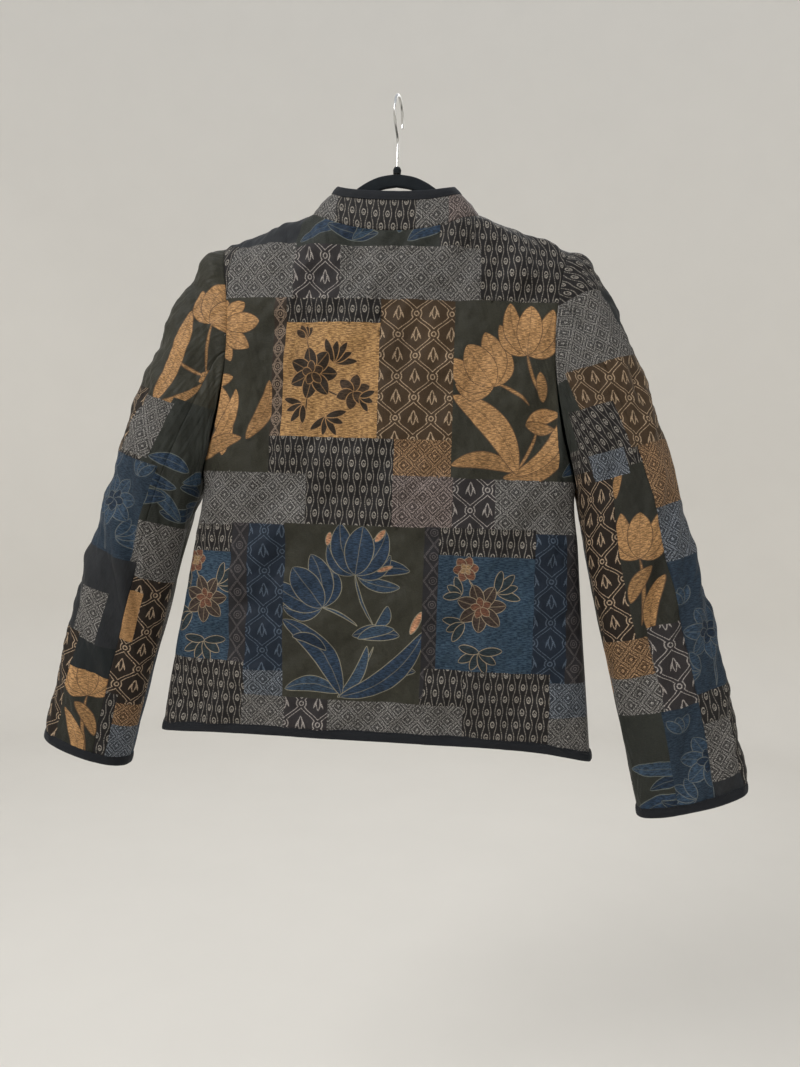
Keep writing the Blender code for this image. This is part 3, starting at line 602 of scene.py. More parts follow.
class Value:
    """A number socket that takes part in Python expressions."""

    def __init__(self, finisher: Finisher, socket: bpy.types.NodeSocket) -> None:
        """Wraps a socket."""
        self.finisher = finisher
        self.socket = socket

    def worked(self, operation: str, operands: Sequence["Value | float"], clamp: bool = False) -> "Value":
        """The result of a Math node on some operands.

        Args:
            operation: The node's operation.
            operands: Its inputs in order.
            clamp: Whether to keep to 0 to 1.

        Returns:
            The result.
        """
        settings = {"operation": operation, "use_clamp": clamp}
        made = self.finisher.node("ShaderNodeMath", settings, dict(enumerate(operands)))
        return Value(self.finisher, made.outputs[0])

    def math(self, operation: str, *others: "Value | float", clamp: bool = False) -> "Value":
        """The result of a Math node with this value first."""
        return self.worked(operation, (self, *others), clamp)

    def __add__(self, other: "Value | float") -> "Value":
        """Sum."""
        return self.math("ADD", other)

    __radd__ = __add__

    def __sub__(self, other: "Value | float") -> "Value":
        """Difference."""
        return self.math("SUBTRACT", other)

    def __rsub__(self, other: float) -> "Value":
        """Difference from a number."""
        return self.worked("SUBTRACT", (other, self))

    def __mul__(self, other: "Value | float") -> "Value":
        """Product."""
        return self.math("MULTIPLY", other)

    __rmul__ = __mul__

    def __truediv__(self, other: "Value | float") -> "Value":
        """Quotient."""
        return self.math("DIVIDE", other)

    def __pow__(self, other: float) -> "Value":
        """Power."""
        return self.math("POWER", other)

    def __abs__(self) -> "Value":
        """Size without sign."""
        return self.math("ABSOLUTE")

    def clamped(self) -> "Value":
        """The value kept between 0 and 1."""
        return self.math("MULTIPLY", 1.0, clamp=True)

    def most(self, other: "Value | float") -> "Value":
        """The larger of two."""
        return self.math("MAXIMUM", other)

    def least(self, other: "Value | float") -> "Value":
        """The smaller of two."""
        return self.math("MINIMUM", other)

    def above(self, other: "Value | float") -> "Value":
        """1 where the value is above another, else 0."""
        return self.math("GREATER_THAN", other)

    def floor(self) -> "Value":
        """The whole number below."""
        return self.math("FLOOR")

    def cosine(self) -> "Value":
        """The cosine of the value in radians."""
        return self.math("COSINE")

    def within(self, width: float, soft: float = 0.25) -> "Value":
        """1 where the value's size is under a width, with soft edges."""
        return abs(self).math("MULTIPLY_ADD", -1 / soft, width / soft + 0.5, clamp=True)

    def folded_in(self, period: float) -> "Value":
        """Distance from the nearest whole number of periods."""
        return abs((self / period + 0.5).math("FRACT") - 0.5) * period


class Fabric(Enum):
    """The woven grounds and pictures of the patches, and the lining."""

    EYE_DROP = "eye_drop"
    GREY_DIAMOND = "grey_diamond"
    GOLD_DIAMOND = "gold_brown_diamond"
    SLATE_DIAMOND = "slate_blue_diamond"
    MAUVE_DIAMOND = "mauve_diamond"
    BROWN_OGEE = "brown_ogee"
    MAUVE_OGEE = "mauve_ogee"
    DARK_OGEE = "dark_brown_ogee"
    BLUE_OGEE = "blue_ogee"
    CHAIN = "chain_strip"
    DUSK_CHAIN = "dusk_chain_strip"
    SLATE = "slate_plain"
    NIGHT = "dark_plain"
    OLIVE = "olive_satin"
    GOLD_PLAIN = "gold_plain"
    GOLD_GROUND = "gold_ground_dark_flowers"
    GOLD_TULIPS = "gold_tulips"
    GOLD_LEAVES = "gold_leaves"
    GOLD_BLOOM = "gold_bloom"
    BLUE_TULIPS = "blue_tulips"
    GOLD_SHOULDER = "gold_shoulder_tulip"
    GOLD_SLEEVE = "gold_sleeve_tulip"
    BLUE_OUTLINES = "blue_outlines"
    BLUE_FLOWER = "blue_flower"
    BLUE_BLOOM = "blue_dashed_bloom"
    LINING = "green_lining"


# A cloth smoother than this is a satin. How high the crumples are beside a yarn, in each kind
SATIN_ROUGHNESS = 0.64
SATIN_CRUMPLE = 5.0
COTTON_CRUMPLE = 2.2


@dataclass(frozen=True)
class WovenCloth:
    """A plain woven cloth. Its kinds add their own pattern of lighter threads."""

    ground: Colour
    thread: Colour = (0.05, 0.05, 0.05)
    roughness: float = 0.66
    speckle: float = 0.45
    streak: tuple[float, float] = (1.3, 0.8)
    drift_size: tuple[float, float] = (38.0, 55.0)
    crumple_size: tuple[float, float] = (8.0, 36.0)
    bump_height: float = 0.00035

    def lines(self, maker: Finisher, x: Value, y: Value) -> "Value | float":
        """Share of light thread at each place. A plain cloth has none.

        Args:
            maker: The material being built.
            x: Distance across in millimetres.
            y: Distance up.

        Returns:
            The share, from 0 to 1.
        """
        return 0.0

    def coloured(self, maker: Finisher, x: Value, y: Value) -> tuple[object, "Value | float"]:
        """The cloth's colour, and how far its threads stand up.

        Args:
            maker: The material being built.
            x: Distance across the patch in millimetres.
            y: Distance up the patch.

        Returns:
            The colour and the height, of about 0 to 1.
        """
        lines = self.lines(maker, x, y)
        if isinstance(lines, Value):
            stitches = maker.noise(x, y, (1.3, 1.0), 0.0)
            lines = (lines * ((stitches - 0.5) * 2.6 + 0.95)).clamped()
        return maker.mix(lines, self.ground, self.thread), lines

    def dress(self, name: str) -> bpy.types.Material:
        """Makes the cloth's material. A cloth that shines like satin also crumples more.

        Args:
            name: The material's name.

        Returns:
            The material.
        """
        maker = Finisher(name)
        x, y = maker.place()
        colour, height = self.coloured(maker, x, y)
        yarn = maker.noise(x, y, self.streak, 1.0)
        drift = maker.noise(x, y, self.drift_size, 2.0)
        worn = (yarn - 0.5) * (2.2 * self.speckle) + (drift - 0.5) * 0.5 + 1.0
        maker.feed(Base_Color=maker.shade(colour, worn.most(0.15)))
        maker.feed(Roughness=(yarn - 0.5) * 0.25 + self.roughness)
        maker.feed(Sheen_Weight=0.02, Sheen_Roughness=0.4, Specular_IOR_Level=0.2)
        crumple = maker.noise(x + y * 0.25, y, self.crumple_size, 1.0)
        soft = SATIN_CRUMPLE if self.roughness < SATIN_ROUGHNESS else COTTON_CRUMPLE
        maker.bump(yarn * 0.7 + height * 0.6 + crumple * soft, self.bump_height, 0.85)
        return maker.material


@dataclass(frozen=True)
class EyeDropCloth(WovenCloth):
    """Columns of drop shapes, each with a ring in a ring, on a dark ground."""

    column: float = 6.5
    repeat: float = 27.5
    swell: float = 1.15
    eye_stretch: float = 0.6
    eye_radius: float = 1.9
    pupil_drop: float = 0.7
    pupil_radius: float = 0.7

    def lines(self, maker: Finisher, x: Value, y: Value) -> Value:
        """Share of light thread at each place."""
        place = x / self.column + 0.5
        up = ((y / self.repeat) + place.floor() * 0.5).math("FRACT")
        across = abs(place.math("FRACT") - 0.5) * self.column
        half = self.column / 2 - self.swell * (up * (2 * math.pi)).cosine()
        wall = (across - half).within(0.40, 0.5) * 0.6
        middle = (up - 0.5) * self.repeat
        across_sq = across * across
        tall = middle * self.eye_stretch
        outer = ((across_sq + tall * tall).math("SQRT") - self.eye_radius).within(0.36, 0.45)
        low = middle + self.pupil_drop
        inner = ((across_sq + low * low).math("SQRT") - self.pupil_radius).within(0.3, 0.4)
        return wall.most(outer).most(inner)


@dataclass(frozen=True)
class DiamondCloth(WovenCloth):
    """A lattice of nested diamonds over a salt-and-pepper ground."""

    repeat: float = 22.0
    outer_ring: float = 0.9
    inner_ring: float = 4.6
    dot: float = 1.8

    def lines(self, maker: Finisher, x: Value, y: Value) -> Value:
        """Share of light thread at each place."""
        grain = maker.noise(x, y, (1.25, 1.1), 0.0)
        ring = abs(x.folded_in(self.repeat) + y.folded_in(self.repeat) - self.repeat / 2)
        double = abs(ring - self.outer_ring).within(0.45, 0.4)
        inner = (ring - self.inner_ring).within(0.6, 0.4)
        dot = (ring - self.repeat / 2).within(self.dot, 0.6)
        speckled = ((grain - 0.5) * 9.0).math("ADD", 0.48, clamp=True)
        return double.most(inner).most(dot) * (speckled * 0.5 + 0.5) * 0.85 + speckled * 0.26


@dataclass(frozen=True)
class OgeeCloth(WovenCloth):
    """Lattice of double lines that open round a ring at each crossing, with a bud in each cell."""

    across: float = 38.7
    up: float = 44.4
    half_gap: float = 2.5
    ring_gap: float = 5.4
    bud_top: float = 8.5
    bud_foot: float = 7.0
    bud_half: float = 2.2
    droop_start: float = 3.0
    droop_length: float = 10.5
    droop_half: float = 1.15
    droop_swing: float = 4.2
    droop_foot: float = 1.4
    ring_radius: float = 2.3
    line: float = 0.6

    def lines(self, maker: Finisher, x: Value, y: Value) -> Value:
        """Share of light thread at each place."""
        half, tall = self.across / 2, self.up / 2
        fold_x, fold_y = x.folded_in(self.across), y.folded_in(self.up)
        wave = (fold_y * (math.pi / tall)).cosine()
        bend = fold_x - (0.5 - 0.5 * wave) * half
        far_x, far_y = half - fold_x, tall - fold_y
        near = (fold_x * fold_x + fold_y * fold_y).least(far_x * far_x + far_y * far_y).math("SQRT")
        band = (abs(bend) - self.half_gap).least(near - self.ring_gap).within(self.line, 0.5)
        ring = (near - self.ring_radius).within(self.line, 0.5)
        return band.most(ring).most(self.bud(x, y)).most(self.bud(x + half, y + tall))

    def bud(self, x: Value, y: Value) -> Value:
        """A pointed leaf with a drooping leaf at each side, in the middle of each cell.

        Args:
            x: Distance across in millimetres.
            y: Distance up.

        Returns:
            The share of light thread at each place.
        """
        side = x.folded_in(self.across)
        rise = ((y / self.up).math("FRACT") - 0.5) * self.up
        share = ((self.bud_top - rise) / (self.bud_top + self.bud_foot)).clamped()
        hump = share * (4.0 - share * 4.0)
        middle = (side - hump * self.bud_half).within(0.55, 0.5) * hump.above(0.02)
        fall = ((self.bud_top - self.droop_start - rise) / self.droop_length).clamped()
        leaf = fall * (4.0 - fall * 4.0)
        droop = (leaf * self.droop_half - abs(side - fall * self.droop_swing - self.droop_foot)).above(0.0)
        return middle.most(droop)


@dataclass(frozen=True)
class ChainCloth(WovenCloth):
    """A narrow strip of rings linked by crossed lines."""

    width: float = 13.9
    repeat: float = 18.7
    outer_ring: float = 4.0
    inner_ring: float = 1.6

    def lines(self, maker: Finisher, x: Value, y: Value) -> Value:
        """Share of light thread at each place."""
        across = abs(x - self.width / 2)
        rise = y.folded_in(self.repeat)
        ring = (across * across + rise * rise).math("SQRT")
        rings = (ring - self.outer_ring).within(0.5, 0.5).most((ring - self.inner_ring).within(0.5, 0.5))
        crossing = (self.repeat / 2 - rise) * 0.75
        crossed = (abs(across - crossing) - 0.7).within(0.4, 0.5) * (ring - 4.4).above(0.0)
        return rings.most(crossed)


Petal = namedtuple("Petal", "x y turn length half_width bow tone", defaults=(0.0, 0))


@dataclass(frozen=True)
class PictureCloth(WovenCloth):
    """A satin ground with flowers and leaves woven in. Every petal is one bent lens shape."""

    petals: tuple[Petal, ...] = ()
    tones: tuple[Colour, ...] = ()
    outline: Colour = (0.20, 0.18, 0.13)
    outline_width: float = 0.45
    roundness: float = 0.68
    dash: float = 0.7
    ground_dash: float = 0.0
    dash_colour: Colour = (0.04, 0.07, 0.10)
    dash_size: tuple[float, float] = (5.5, 0.9)
    veined_from: float = 6.0

    def petal_field(self, x: Value, y: Value, petal: Petal) -> tuple[Value, Value]:
        """How far inside a petal each place lies, and how far from its vein, in millimetres.

        Args:
            x: Distance across in millimetres.
            y: Distance up.
            petal: The petal.

        Returns:
            The depth inside, below 0 outside, and the distance from the vein.
        """
        turn = math.radians(petal.turn)
        cos, sin = math.cos(turn), math.sin(turn)
        along = y.math("MULTIPLY_ADD", sin, x.math("MULTIPLY_ADD", cos, -petal.x * cos - petal.y * sin))
        aside = x.math("MULTIPLY_ADD", -sin, y.math("MULTIPLY_ADD", cos, petal.x * sin - petal.y * cos))
        share = along.math("DIVIDE", petal.length, clamp=True)
        hump = share * share.math("MULTIPLY_ADD", -4.0, 4.0)
        off = abs(hump.math("MULTIPLY_ADD", -petal.bow, aside))
        past = abs(share.math("MULTIPLY_ADD", -petal.length, along))
        return hump**self.roundness * petal.half_width - off - past, off

    def coloured(self, maker: Finisher, x: Value, y: Value) -> tuple[object, Value]:
        """The picture's colour, and how far its threads stand up."""
        weft = maker.noise(x, y, self.dash_size, 1.0)
        dashes = ((weft - 0.5) * 7.0).math("ADD", 0.5, clamp=True)
        colour = maker.mix(dashes * self.ground_dash, self.ground, self.dash_colour)
        light = dashes.math("MULTIPLY_ADD", self.dash, 1 - self.dash * 0.62)
        fills = [maker.shade(tone, light) for tone in self.tones]
        for petal in self.petals:
            depth, off = self.petal_field(x, y, petal)
            inside = depth.math("MULTIPLY_ADD", 2.0, 0.5, clamp=True)
            edge = depth.within(self.outline_width, 0.4)
            if petal.half_width > self.veined_from:
                edge = edge.most(off.within(0.4, 0.5) * depth.math("GREATER_THAN", 1.5) * 0.6)
            colour = maker.mix(edge, maker.mix(inside, colour, fills[petal.tone]), self.outline)
        return colour, dashes * 0.8


def blossom(
    x: float, y: float, start: float, reach: float, count: int, wide: float, tone: int
) -> list[Petal]:
    """Petals all round a centre."""
    return [Petal(x, y, start + 360 * k / count, reach, wide, 0.0, tone) for k in range(count)]


def spray(x: float, y: float, turns: Sequence[float], reach: float, wide: float, tone: int) -> list[Petal]:
    """Small leaves that fan out from one point."""
    return [Petal(x, y, turn, reach * (1 - 0.12 * (k % 2)), wide, 0.0, tone) for k, turn in enumerate(turns)]


def tulip(x: float, y: float, heading: float, reach: float, wide: float, tone: int) -> list[Petal]:
    """A cup of overlapping petals that opens in one direction.

    Args:
        x: Where the cup's foot is, across.
        y: Where it is, up.
        heading: Its direction in degrees.
        reach: Its length.
        wide: The middle petal's half width.
        tone: The number of its tone.

    Returns:
        The petals, with the front one last.
    """
    return [
        Petal(x, y, heading + 52, reach * 0.78, wide * 0.62, reach * 0.10, tone),
        Petal(x, y, heading - 52, reach * 0.78, wide * 0.62, -reach * 0.10, tone),
        Petal(x, y, heading + 26, reach * 1.02, wide * 0.80, reach * 0.10, tone),
        Petal(x, y, heading - 26, reach * 1.02, wide * 0.80, -reach * 0.10, tone),
        Petal(x, y, heading, reach * 0.94, wide, 0.0, tone),
    ]


GOLD_TONES = ((0.36, 0.20, 0.084), (0.28, 0.155, 0.064), (0.40, 0.23, 0.10))
BLUE_TONES = ((0.017, 0.034, 0.062), (0.026, 0.048, 0.078), (0.40, 0.20, 0.11), (0.010, 0.021, 0.040))
BLOOM_TONES = ((0.042, 0.028, 0.022), (0.130, 0.055, 0.032), (0.27, 0.17, 0.085), (0.016, 0.026, 0.032))
DARK_TONES = ((0.026, 0.017, 0.010), (0.045, 0.027, 0.015))
OLIVE_GROUND = (0.027, 0.026, 0.018)

GOLD_TULIP_PETALS = (
    Petal(83, 134, -68, 53, 1.9, -4, 1),
    Petal(49, 101, -30, 42, 1.8, 3, 1),
    Petal(97, 60, -116, 56, 1.8, 3, 1),
    Petal(0, 14, -4, 72, 9, 9, 1),
    Petal(58, 2, 24, 74, 10, -9, 1),
    Petal(66, 4, 48, 88, 8, -13, 0),
    Petal(0, 88, -48, 110, 15, 14, 0),
    Petal(102, 84, 100, 31, 6, 0, 1),
    Petal(82, 58, 20, 40, 9, 3, 0),
    Petal(82, 60, -8, 34, 7, -2, 1),
    *tulip(46, 98, 126, 56, 17, 0),
    *tulip(83, 132, 84, 56, 14, 0),
)
GOLD_LEAF_PETALS = (
    Petal(70, 158, -100, 78, 1.9, 3, 1),
    Petal(104, 36, 70, 68, 9, -7, 1),
    Petal(58, 100, -78, 84, 13, 8, 0),
    Petal(56, 26, 62, 72, 9, -8, 0),
    Petal(46, 12, 26, 58, 9, 6, 1),
    Petal(62, 90, 30, 26, 6, 4, 0),
    Petal(68, 160, 84, 26, 8, 3, 0),
    Petal(68, 160, -72, 42, 9, -3, 0),
    Petal(68, 160, -38, 42, 10, -3, 0),
    Petal(68, 160, 42, 34, 9, 3, 0),
    Petal(68, 160, 4, 44, 11, 0, 0),
)
GOLD_SLEEVE_PETALS = (
    Petal(30, 106, -96, 34, 1.9, 2, 1),
    Petal(14, 78, 24, 40, 1.7, -3, 1),
    Petal(110, 40, 130, 100, 15, -14, 0),
    Petal(60, 12, 120, 60, 9, 8, 1),
    Petal(70, 14, 56, 50, 8, -6, 1),
    *blossom(24, 76, 20, 12, 5, 5.0, 0),
    *tulip(36, 108, 66, 62, 18, 0),
)
GOLD_SHOULDER_PETALS = (
    Petal(52, 120, -123, 74, 1.9, 3, 1),
    Petal(14, 58, 8, 52, 1.8, -2, 1),
    Petal(10, 50, -36, 64, 6, -6, 1),
    Petal(66, 8, 80, 116, 12, 8, 0),
    *blossom(13, 57, 20, 9, 5, 4.0, 0),
    *tulip(52, 116, 90, 66, 15, 0),
)
BLUE_TULIP_PETALS = (
    Petal(80, 141, -69, 58, 1.6, -3, 1),
    Petal(45, 104, -27, 43, 1.5, 3, 1),
    Petal(102, 62, -120, 64, 1.5, 3, 1),
    Petal(104, 26, 14, 46, 7, 5, 3),
    Petal(64, 4, 62, 66, 6, -7, 1),
    Petal(4, 10, 0, 62, 9, 8, 1),
    Petal(0, 88, -50, 106, 13, 13, 0),
    Petal(12, 70, -20, 40, 6, 6, 3),
    Petal(66, 5, 40, 118, 12, -15, 0),
    Petal(142, 78, 66, 28, 4, 0, 2),
    Petal(78, 74, 2, 52, 9, 3, 0),
    Petal(104, 84, 62, 28, 6, -4, 1),
    Petal(84, 70, 18, 42, 6, 3, 1),
    *tulip(45, 104, 130, 58, 16, 0),
    Petal(84, 140, 8, 56, 9, 6, 0),
    Petal(84, 138, -12, 46, 7, -3, 1),
    *tulip(80, 141, 82, 57, 16, 0),
    Petal(48, 172, 78, 15, 3.2, 0, 2),
    Petal(101, 178, 52, 17, 3.2, 0, 2),
    Petal(104, 146, 20, 18, 2.6, 0, 2),
)
BLUE_OUTLINE_PETALS = (
    Petal(6, 6, 20, 64, 9, 6, 0),
    Petal(40, 26, -12, 60, 8, -5, 3),
    Petal(70, 8, 28, 58, 8, 5, 1),
    Petal(94, 30, -20, 56, 9, 6, 0),
    Petal(30, 40, 8, 50, 7, 4, 3),
    Petal(84, 44, 12, 60, 7, -4, 0),
    Petal(120, 14, 60, 38, 7, 4, 1),
    Petal(12, 62, -8, 66, 8, 4, 1),
    Petal(72, 66, 4, 62, 8, 4, 0),
)
BLUE_FLOWER_PETALS = (
    *spray(20, 24, (200, 170, 140, 110), 26, 5, 1),
    *spray(58, 30, (-20, 10, 40, 70), 28, 5, 0),
    Petal(40, 52, -95, 50, 1.4, 3, 1),
    *blossom(40, 60, 12, 30, 7, 8.5, 1),
    *blossom(40, 60, 35, 13, 5, 4.5, 3),
    *spray(60, 92, (20, 50, 80, 110), 22, 5, 0),
    *spray(16, 96, (60, 95, 130), 20, 5, 1),
)
BLUE_BLOOM_PETALS = (
    Petal(34, 100, -66, 40, 1.2, 2, 3),
    *spray(47, 22, (-150, -112, -72, -34, 6, 170), 25, 4.5, 3),
    *spray(64, 88, (-16, 14, 44, 78), 27, 4.6, 3),
    *spray(30, 52, (170, 205, 240), 24, 4.6, 3),
    *spray(26, 84, (110, 150, 190), 20, 4.2, 3),
    *blossom(30, 112, 10, 14, 6, 5.2, 1),
    *blossom(30, 112, 40, 7, 4, 2.6, 2),
    *blossom(48, 70, 8, 27, 7, 7.5, 0),
    *blossom(48, 70, 30, 12, 5, 4.0, 1),
)
GOLD_GROUND_PETALS = (
    Petal(22, 108, -70, 40, 1.2, 2, 0),
    Petal(38, 60, -25, 48, 1.2, -3, 0),
    Petal(30, 52, -100, 46, 1.2, 2, 0),
    *spray(58, 80, (5, 30, 55, 80, 110), 26, 4.0, 0),
    *spray(25, 34, (165, 200, 235, 270), 23, 3.8, 0),
    *spray(52, 22, (-140, -100, -60, -20, 15), 23, 3.8, 0),
    *spray(22, 106, (50, 80, 110, 140), 15, 4.2, 1),
    *blossom(81, 49, 20, 19, 6, 6.0, 1),
    *spray(88, 44, (-60, -20, 20), 18, 3.6, 0),
    *blossom(35, 68, 0, 28, 7, 8.5, 0),
    *blossom(35, 68, 26, 13, 5, 4.5, 1),
)
GOLD_BLOOM_PETALS = (
    Petal(20, 84, -100, 70, 1.8, 3, 1),
    Petal(44, 60, -115, 66, 9, -8, 0),
    Petal(2, 40, 50, 44, 7, 4, 1),
    Petal(2, 150, 60, 30, 6, 3, 1),
    *tulip(20, 84, 78, 50, 13, 0),
)


def gold_picture(petals: tuple[Petal, ...], roughness: float, ground: Colour = OLIVE_GROUND) -> PictureCloth:
    """Gold flowers, outlined in dark brown, on a dark satin ground."""
    outline = (0.11, 0.060, 0.030)
    return PictureCloth(ground, roughness=roughness, petals=petals, tones=GOLD_TONES, outline=outline)


CLOTHS = {
    Fabric.EYE_DROP: EyeDropCloth((0.0100, 0.0085, 0.0085), (0.29, 0.265, 0.23)),
    Fabric.GREY_DIAMOND: DiamondCloth((0.0160, 0.0150, 0.0155), (0.30, 0.285, 0.265)),
    Fabric.GOLD_DIAMOND: DiamondCloth((0.038, 0.019, 0.008), (0.42, 0.26, 0.14)),
    Fabric.SLATE_DIAMOND: DiamondCloth((0.012, 0.016, 0.022), (0.24, 0.26, 0.29)),
    Fabric.MAUVE_DIAMOND: DiamondCloth((0.022, 0.016, 0.015), (0.35, 0.285, 0.26)),
    Fabric.BROWN_OGEE: OgeeCloth((0.044, 0.026, 0.0125), (0.36, 0.26, 0.17)),
    Fabric.MAUVE_OGEE: OgeeCloth((0.023, 0.020, 0.021), (0.31, 0.28, 0.26)),
    Fabric.DARK_OGEE: OgeeCloth((0.014, 0.009, 0.006), (0.38, 0.28, 0.19)),
    Fabric.BLUE_OGEE: OgeeCloth((0.008, 0.014, 0.025), (0.068, 0.092, 0.125)),
    Fabric.CHAIN: ChainCloth((0.028, 0.019, 0.013), (0.26, 0.19, 0.14)),
    Fabric.DUSK_CHAIN: ChainCloth((0.016, 0.015, 0.017), (0.085, 0.075, 0.075), width=21.0, repeat=26.0),
    Fabric.SLATE: WovenCloth((0.017, 0.0185, 0.021), streak=(0.9, 6.0)),
    Fabric.NIGHT: WovenCloth((0.010, 0.0125, 0.0135), streak=(0.9, 6.0)),
    Fabric.OLIVE: WovenCloth(OLIVE_GROUND, roughness=0.55, streak=(6.0, 0.9)),
    Fabric.GOLD_PLAIN: PictureCloth(GOLD_TONES[0], ground_dash=0.6, dash_colour=(0.16, 0.085, 0.035)),
    Fabric.GOLD_GROUND: PictureCloth(
        (0.42, 0.245, 0.098),
        petals=GOLD_GROUND_PETALS,
        tones=DARK_TONES,
        outline=(0.30, 0.17, 0.075),
        outline_width=0.5,
        ground_dash=0.85,
        dash_colour=(0.135, 0.070, 0.028),
    ),
    Fabric.GOLD_TULIPS: gold_picture(GOLD_TULIP_PETALS, 0.62),
    Fabric.GOLD_LEAVES: gold_picture(GOLD_LEAF_PETALS, 0.62),
    Fabric.GOLD_BLOOM: gold_picture(GOLD_BLOOM_PETALS, 0.62, (0.019, 0.019, 0.014)),
    Fabric.GOLD_SHOULDER: gold_picture(GOLD_SHOULDER_PETALS, 0.55),
    Fabric.GOLD_SLEEVE: gold_picture(GOLD_SLEEVE_PETALS, 0.55),
    Fabric.BLUE_TULIPS: PictureCloth(
        OLIVE_GROUND, roughness=0.55, petals=BLUE_TULIP_PETALS, tones=BLUE_TONES
    ),
    Fabric.BLUE_OUTLINES: PictureCloth(
        (0.020, 0.022, 0.018),
        roughness=0.62,
        petals=BLUE_OUTLINE_PETALS,
        tones=BLUE_TONES,
        outline=(0.10, 0.11, 0.10),
    ),
    Fabric.BLUE_FLOWER: PictureCloth(
        (0.011, 0.020, 0.034),
        petals=BLUE_FLOWER_PETALS,
        tones=BLUE_TONES,
        outline=(0.10, 0.11, 0.11),
        ground_dash=0.35,
    ),
    Fabric.BLUE_BLOOM: PictureCloth(
        (0.010, 0.023, 0.042),
        petals=BLUE_BLOOM_PETALS,
        tones=BLOOM_TONES,
        outline=(0.27, 0.21, 0.14),
        outline_width=0.38,
        ground_dash=0.75,
        dash_colour=(0.040, 0.072, 0.105),
    ),
    Fabric.LINING: WovenCloth((0.014, 0.034, 0.028), roughness=0.5, speckle=0.2),
}

# Patches of each panel in millimetres on the flat cloth, where a later one covers an earlier one:
# left and right edge from the panel's middle or seam, low and high edge above its foot
Patch = namedtuple("Patch", "left right low high fabric turn", defaults=(0.0,))

BACK_PATCHES = (
    Patch(-300, -102, 540, 660, Fabric.SLATE),
    Patch(-112, 12, 535, 660, Fabric.BLUE_OUTLINES),
    Patch(12, 53, 535, 660, Fabric.BLUE_OUTLINES),
    Patch(12, 50, 563, 660, Fabric.OLIVE),
    Patch(53, 300, 480, 660, Fabric.EYE_DROP),
    Patch(-300, -190, 479, 542, Fabric.EYE_DROP),
    Patch(-190, -110, 479, 540, Fabric.GREY_DIAMOND),
    Patch(-110, -54, 479, 535, Fabric.MAUVE_OGEE),
    Patch(-54, 103, 479, 535, Fabric.GREY_DIAMOND),
    Patch(-260, -130, 291, 479, Fabric.GOLD_LEAVES),
    Patch(-130, -116, 331, 479, Fabric.CHAIN),
    Patch(-116, -8, 454, 479, Fabric.EYE_DROP),
    Patch(-116, -8, 331, 454, Fabric.GOLD_GROUND),
    Patch(-8, 73, 331, 479, Fabric.BROWN_OGEE),
    Patch(11, 75, 292, 331, Fabric.GOLD_DIAMOND),
    Patch(73, 191, 291, 479, Fabric.GOLD_TULIPS),
    Patch(191, 300, 291, 479, Fabric.BLUE_OUTLINES),
    Patch(-125, 11, 235, 331, Fabric.EYE_DROP),
    Patch(-300, -84, 232, 291, Fabric.GREY_DIAMOND),
    Patch(11, 76, 237, 292, Fabric.MAUVE_DIAMOND),
    Patch(76, 123, 235, 291, Fabric.MAUVE_OGEE),
    Patch(123, 300, 234, 291, Fabric.GREY_DIAMOND),
    Patch(-300, -170, 202, 232, Fabric.EYE_DROP),
    Patch(-247, -168, 78, 202, Fabric.BLUE_BLOOM),
    Patch(-170, -149, 80, 235, Fabric.DUSK_CHAIN),
    Patch(-149, -106, 72, 235, Fabric.BLUE_OGEE),
    Patch(-107, 47, 42, 237, Fabric.BLUE_TULIPS),
    Patch(47, 63, 50, 238, Fabric.DUSK_CHAIN),
    Patch(63, 169, 208, 238, Fabric.EYE_DROP),
    Patch(63, 169, 82, 208, Fabric.BLUE_BLOOM),
    Patch(168, 205, 72, 234, Fabric.BLUE_OGEE),
    Patch(205, 300, 63, 234, Fabric.DUSK_CHAIN),
    Patch(-300, -150, -30, 80, Fabric.EYE_DROP),
    Patch(-150, -106, 40, 72, Fabric.SLATE_DIAMOND),
    Patch(-152, 95, -30, 43, Fabric.GREY_DIAMOND),
    Patch(-103, -54, -30, 43, Fabric.MAUVE_OGEE),
    Patch(95, 189, -30, 82, Fabric.EYE_DROP),
    Patch(51, 95, 43, 82, Fabric.EYE_DROP),
    Patch(189, 300, 34, 72, Fabric.SLATE_DIAMOND),
    Patch(189, 300, -30, 34, Fabric.GREY_DIAMOND),
)
FRONT_PATCHES = (
    Patch(0, 300, 480, 660, Fabric.EYE_DROP),
    Patch(96, 300, 500, 660, Fabric.GREY_DIAMOND),
    Patch(0, 62, 331, 480, Fabric.BROWN_OGEE),
    Patch(62, 180, 291, 480, Fabric.GOLD_TULIPS),
    Patch(180, 300, 291, 500, Fabric.EYE_DROP),
    Patch(0, 62, 235, 331, Fabric.GREY_DIAMOND),
    Patch(62, 300, 235, 291, Fabric.MAUVE_OGEE),
    Patch(0, 154, 42, 237, Fabric.BLUE_TULIPS),
    Patch(154, 176, 42, 237, Fabric.SLATE),
    Patch(176, 300, 82, 235, Fabric.BLUE_BLOOM),
    Patch(0, 120, -40, 42, Fabric.GREY_DIAMOND),
    Patch(120, 300, -40, 82, Fabric.EYE_DROP),
)
COLLAR_PATCHES = (
    Patch(-400, -150, -10, 60, Fabric.MAUVE_OGEE),
    Patch(-150, -63, -10, 60, Fabric.GREY_DIAMOND),
    Patch(-63, 26, -10, 60, Fabric.EYE_DROP),
    Patch(26, 62, -10, 60, Fabric.GREY_DIAMOND),
    Patch(62, 150, -10, 60, Fabric.MAUVE_DIAMOND),
    Patch(150, 400, -10, 60, Fabric.EYE_DROP),
)
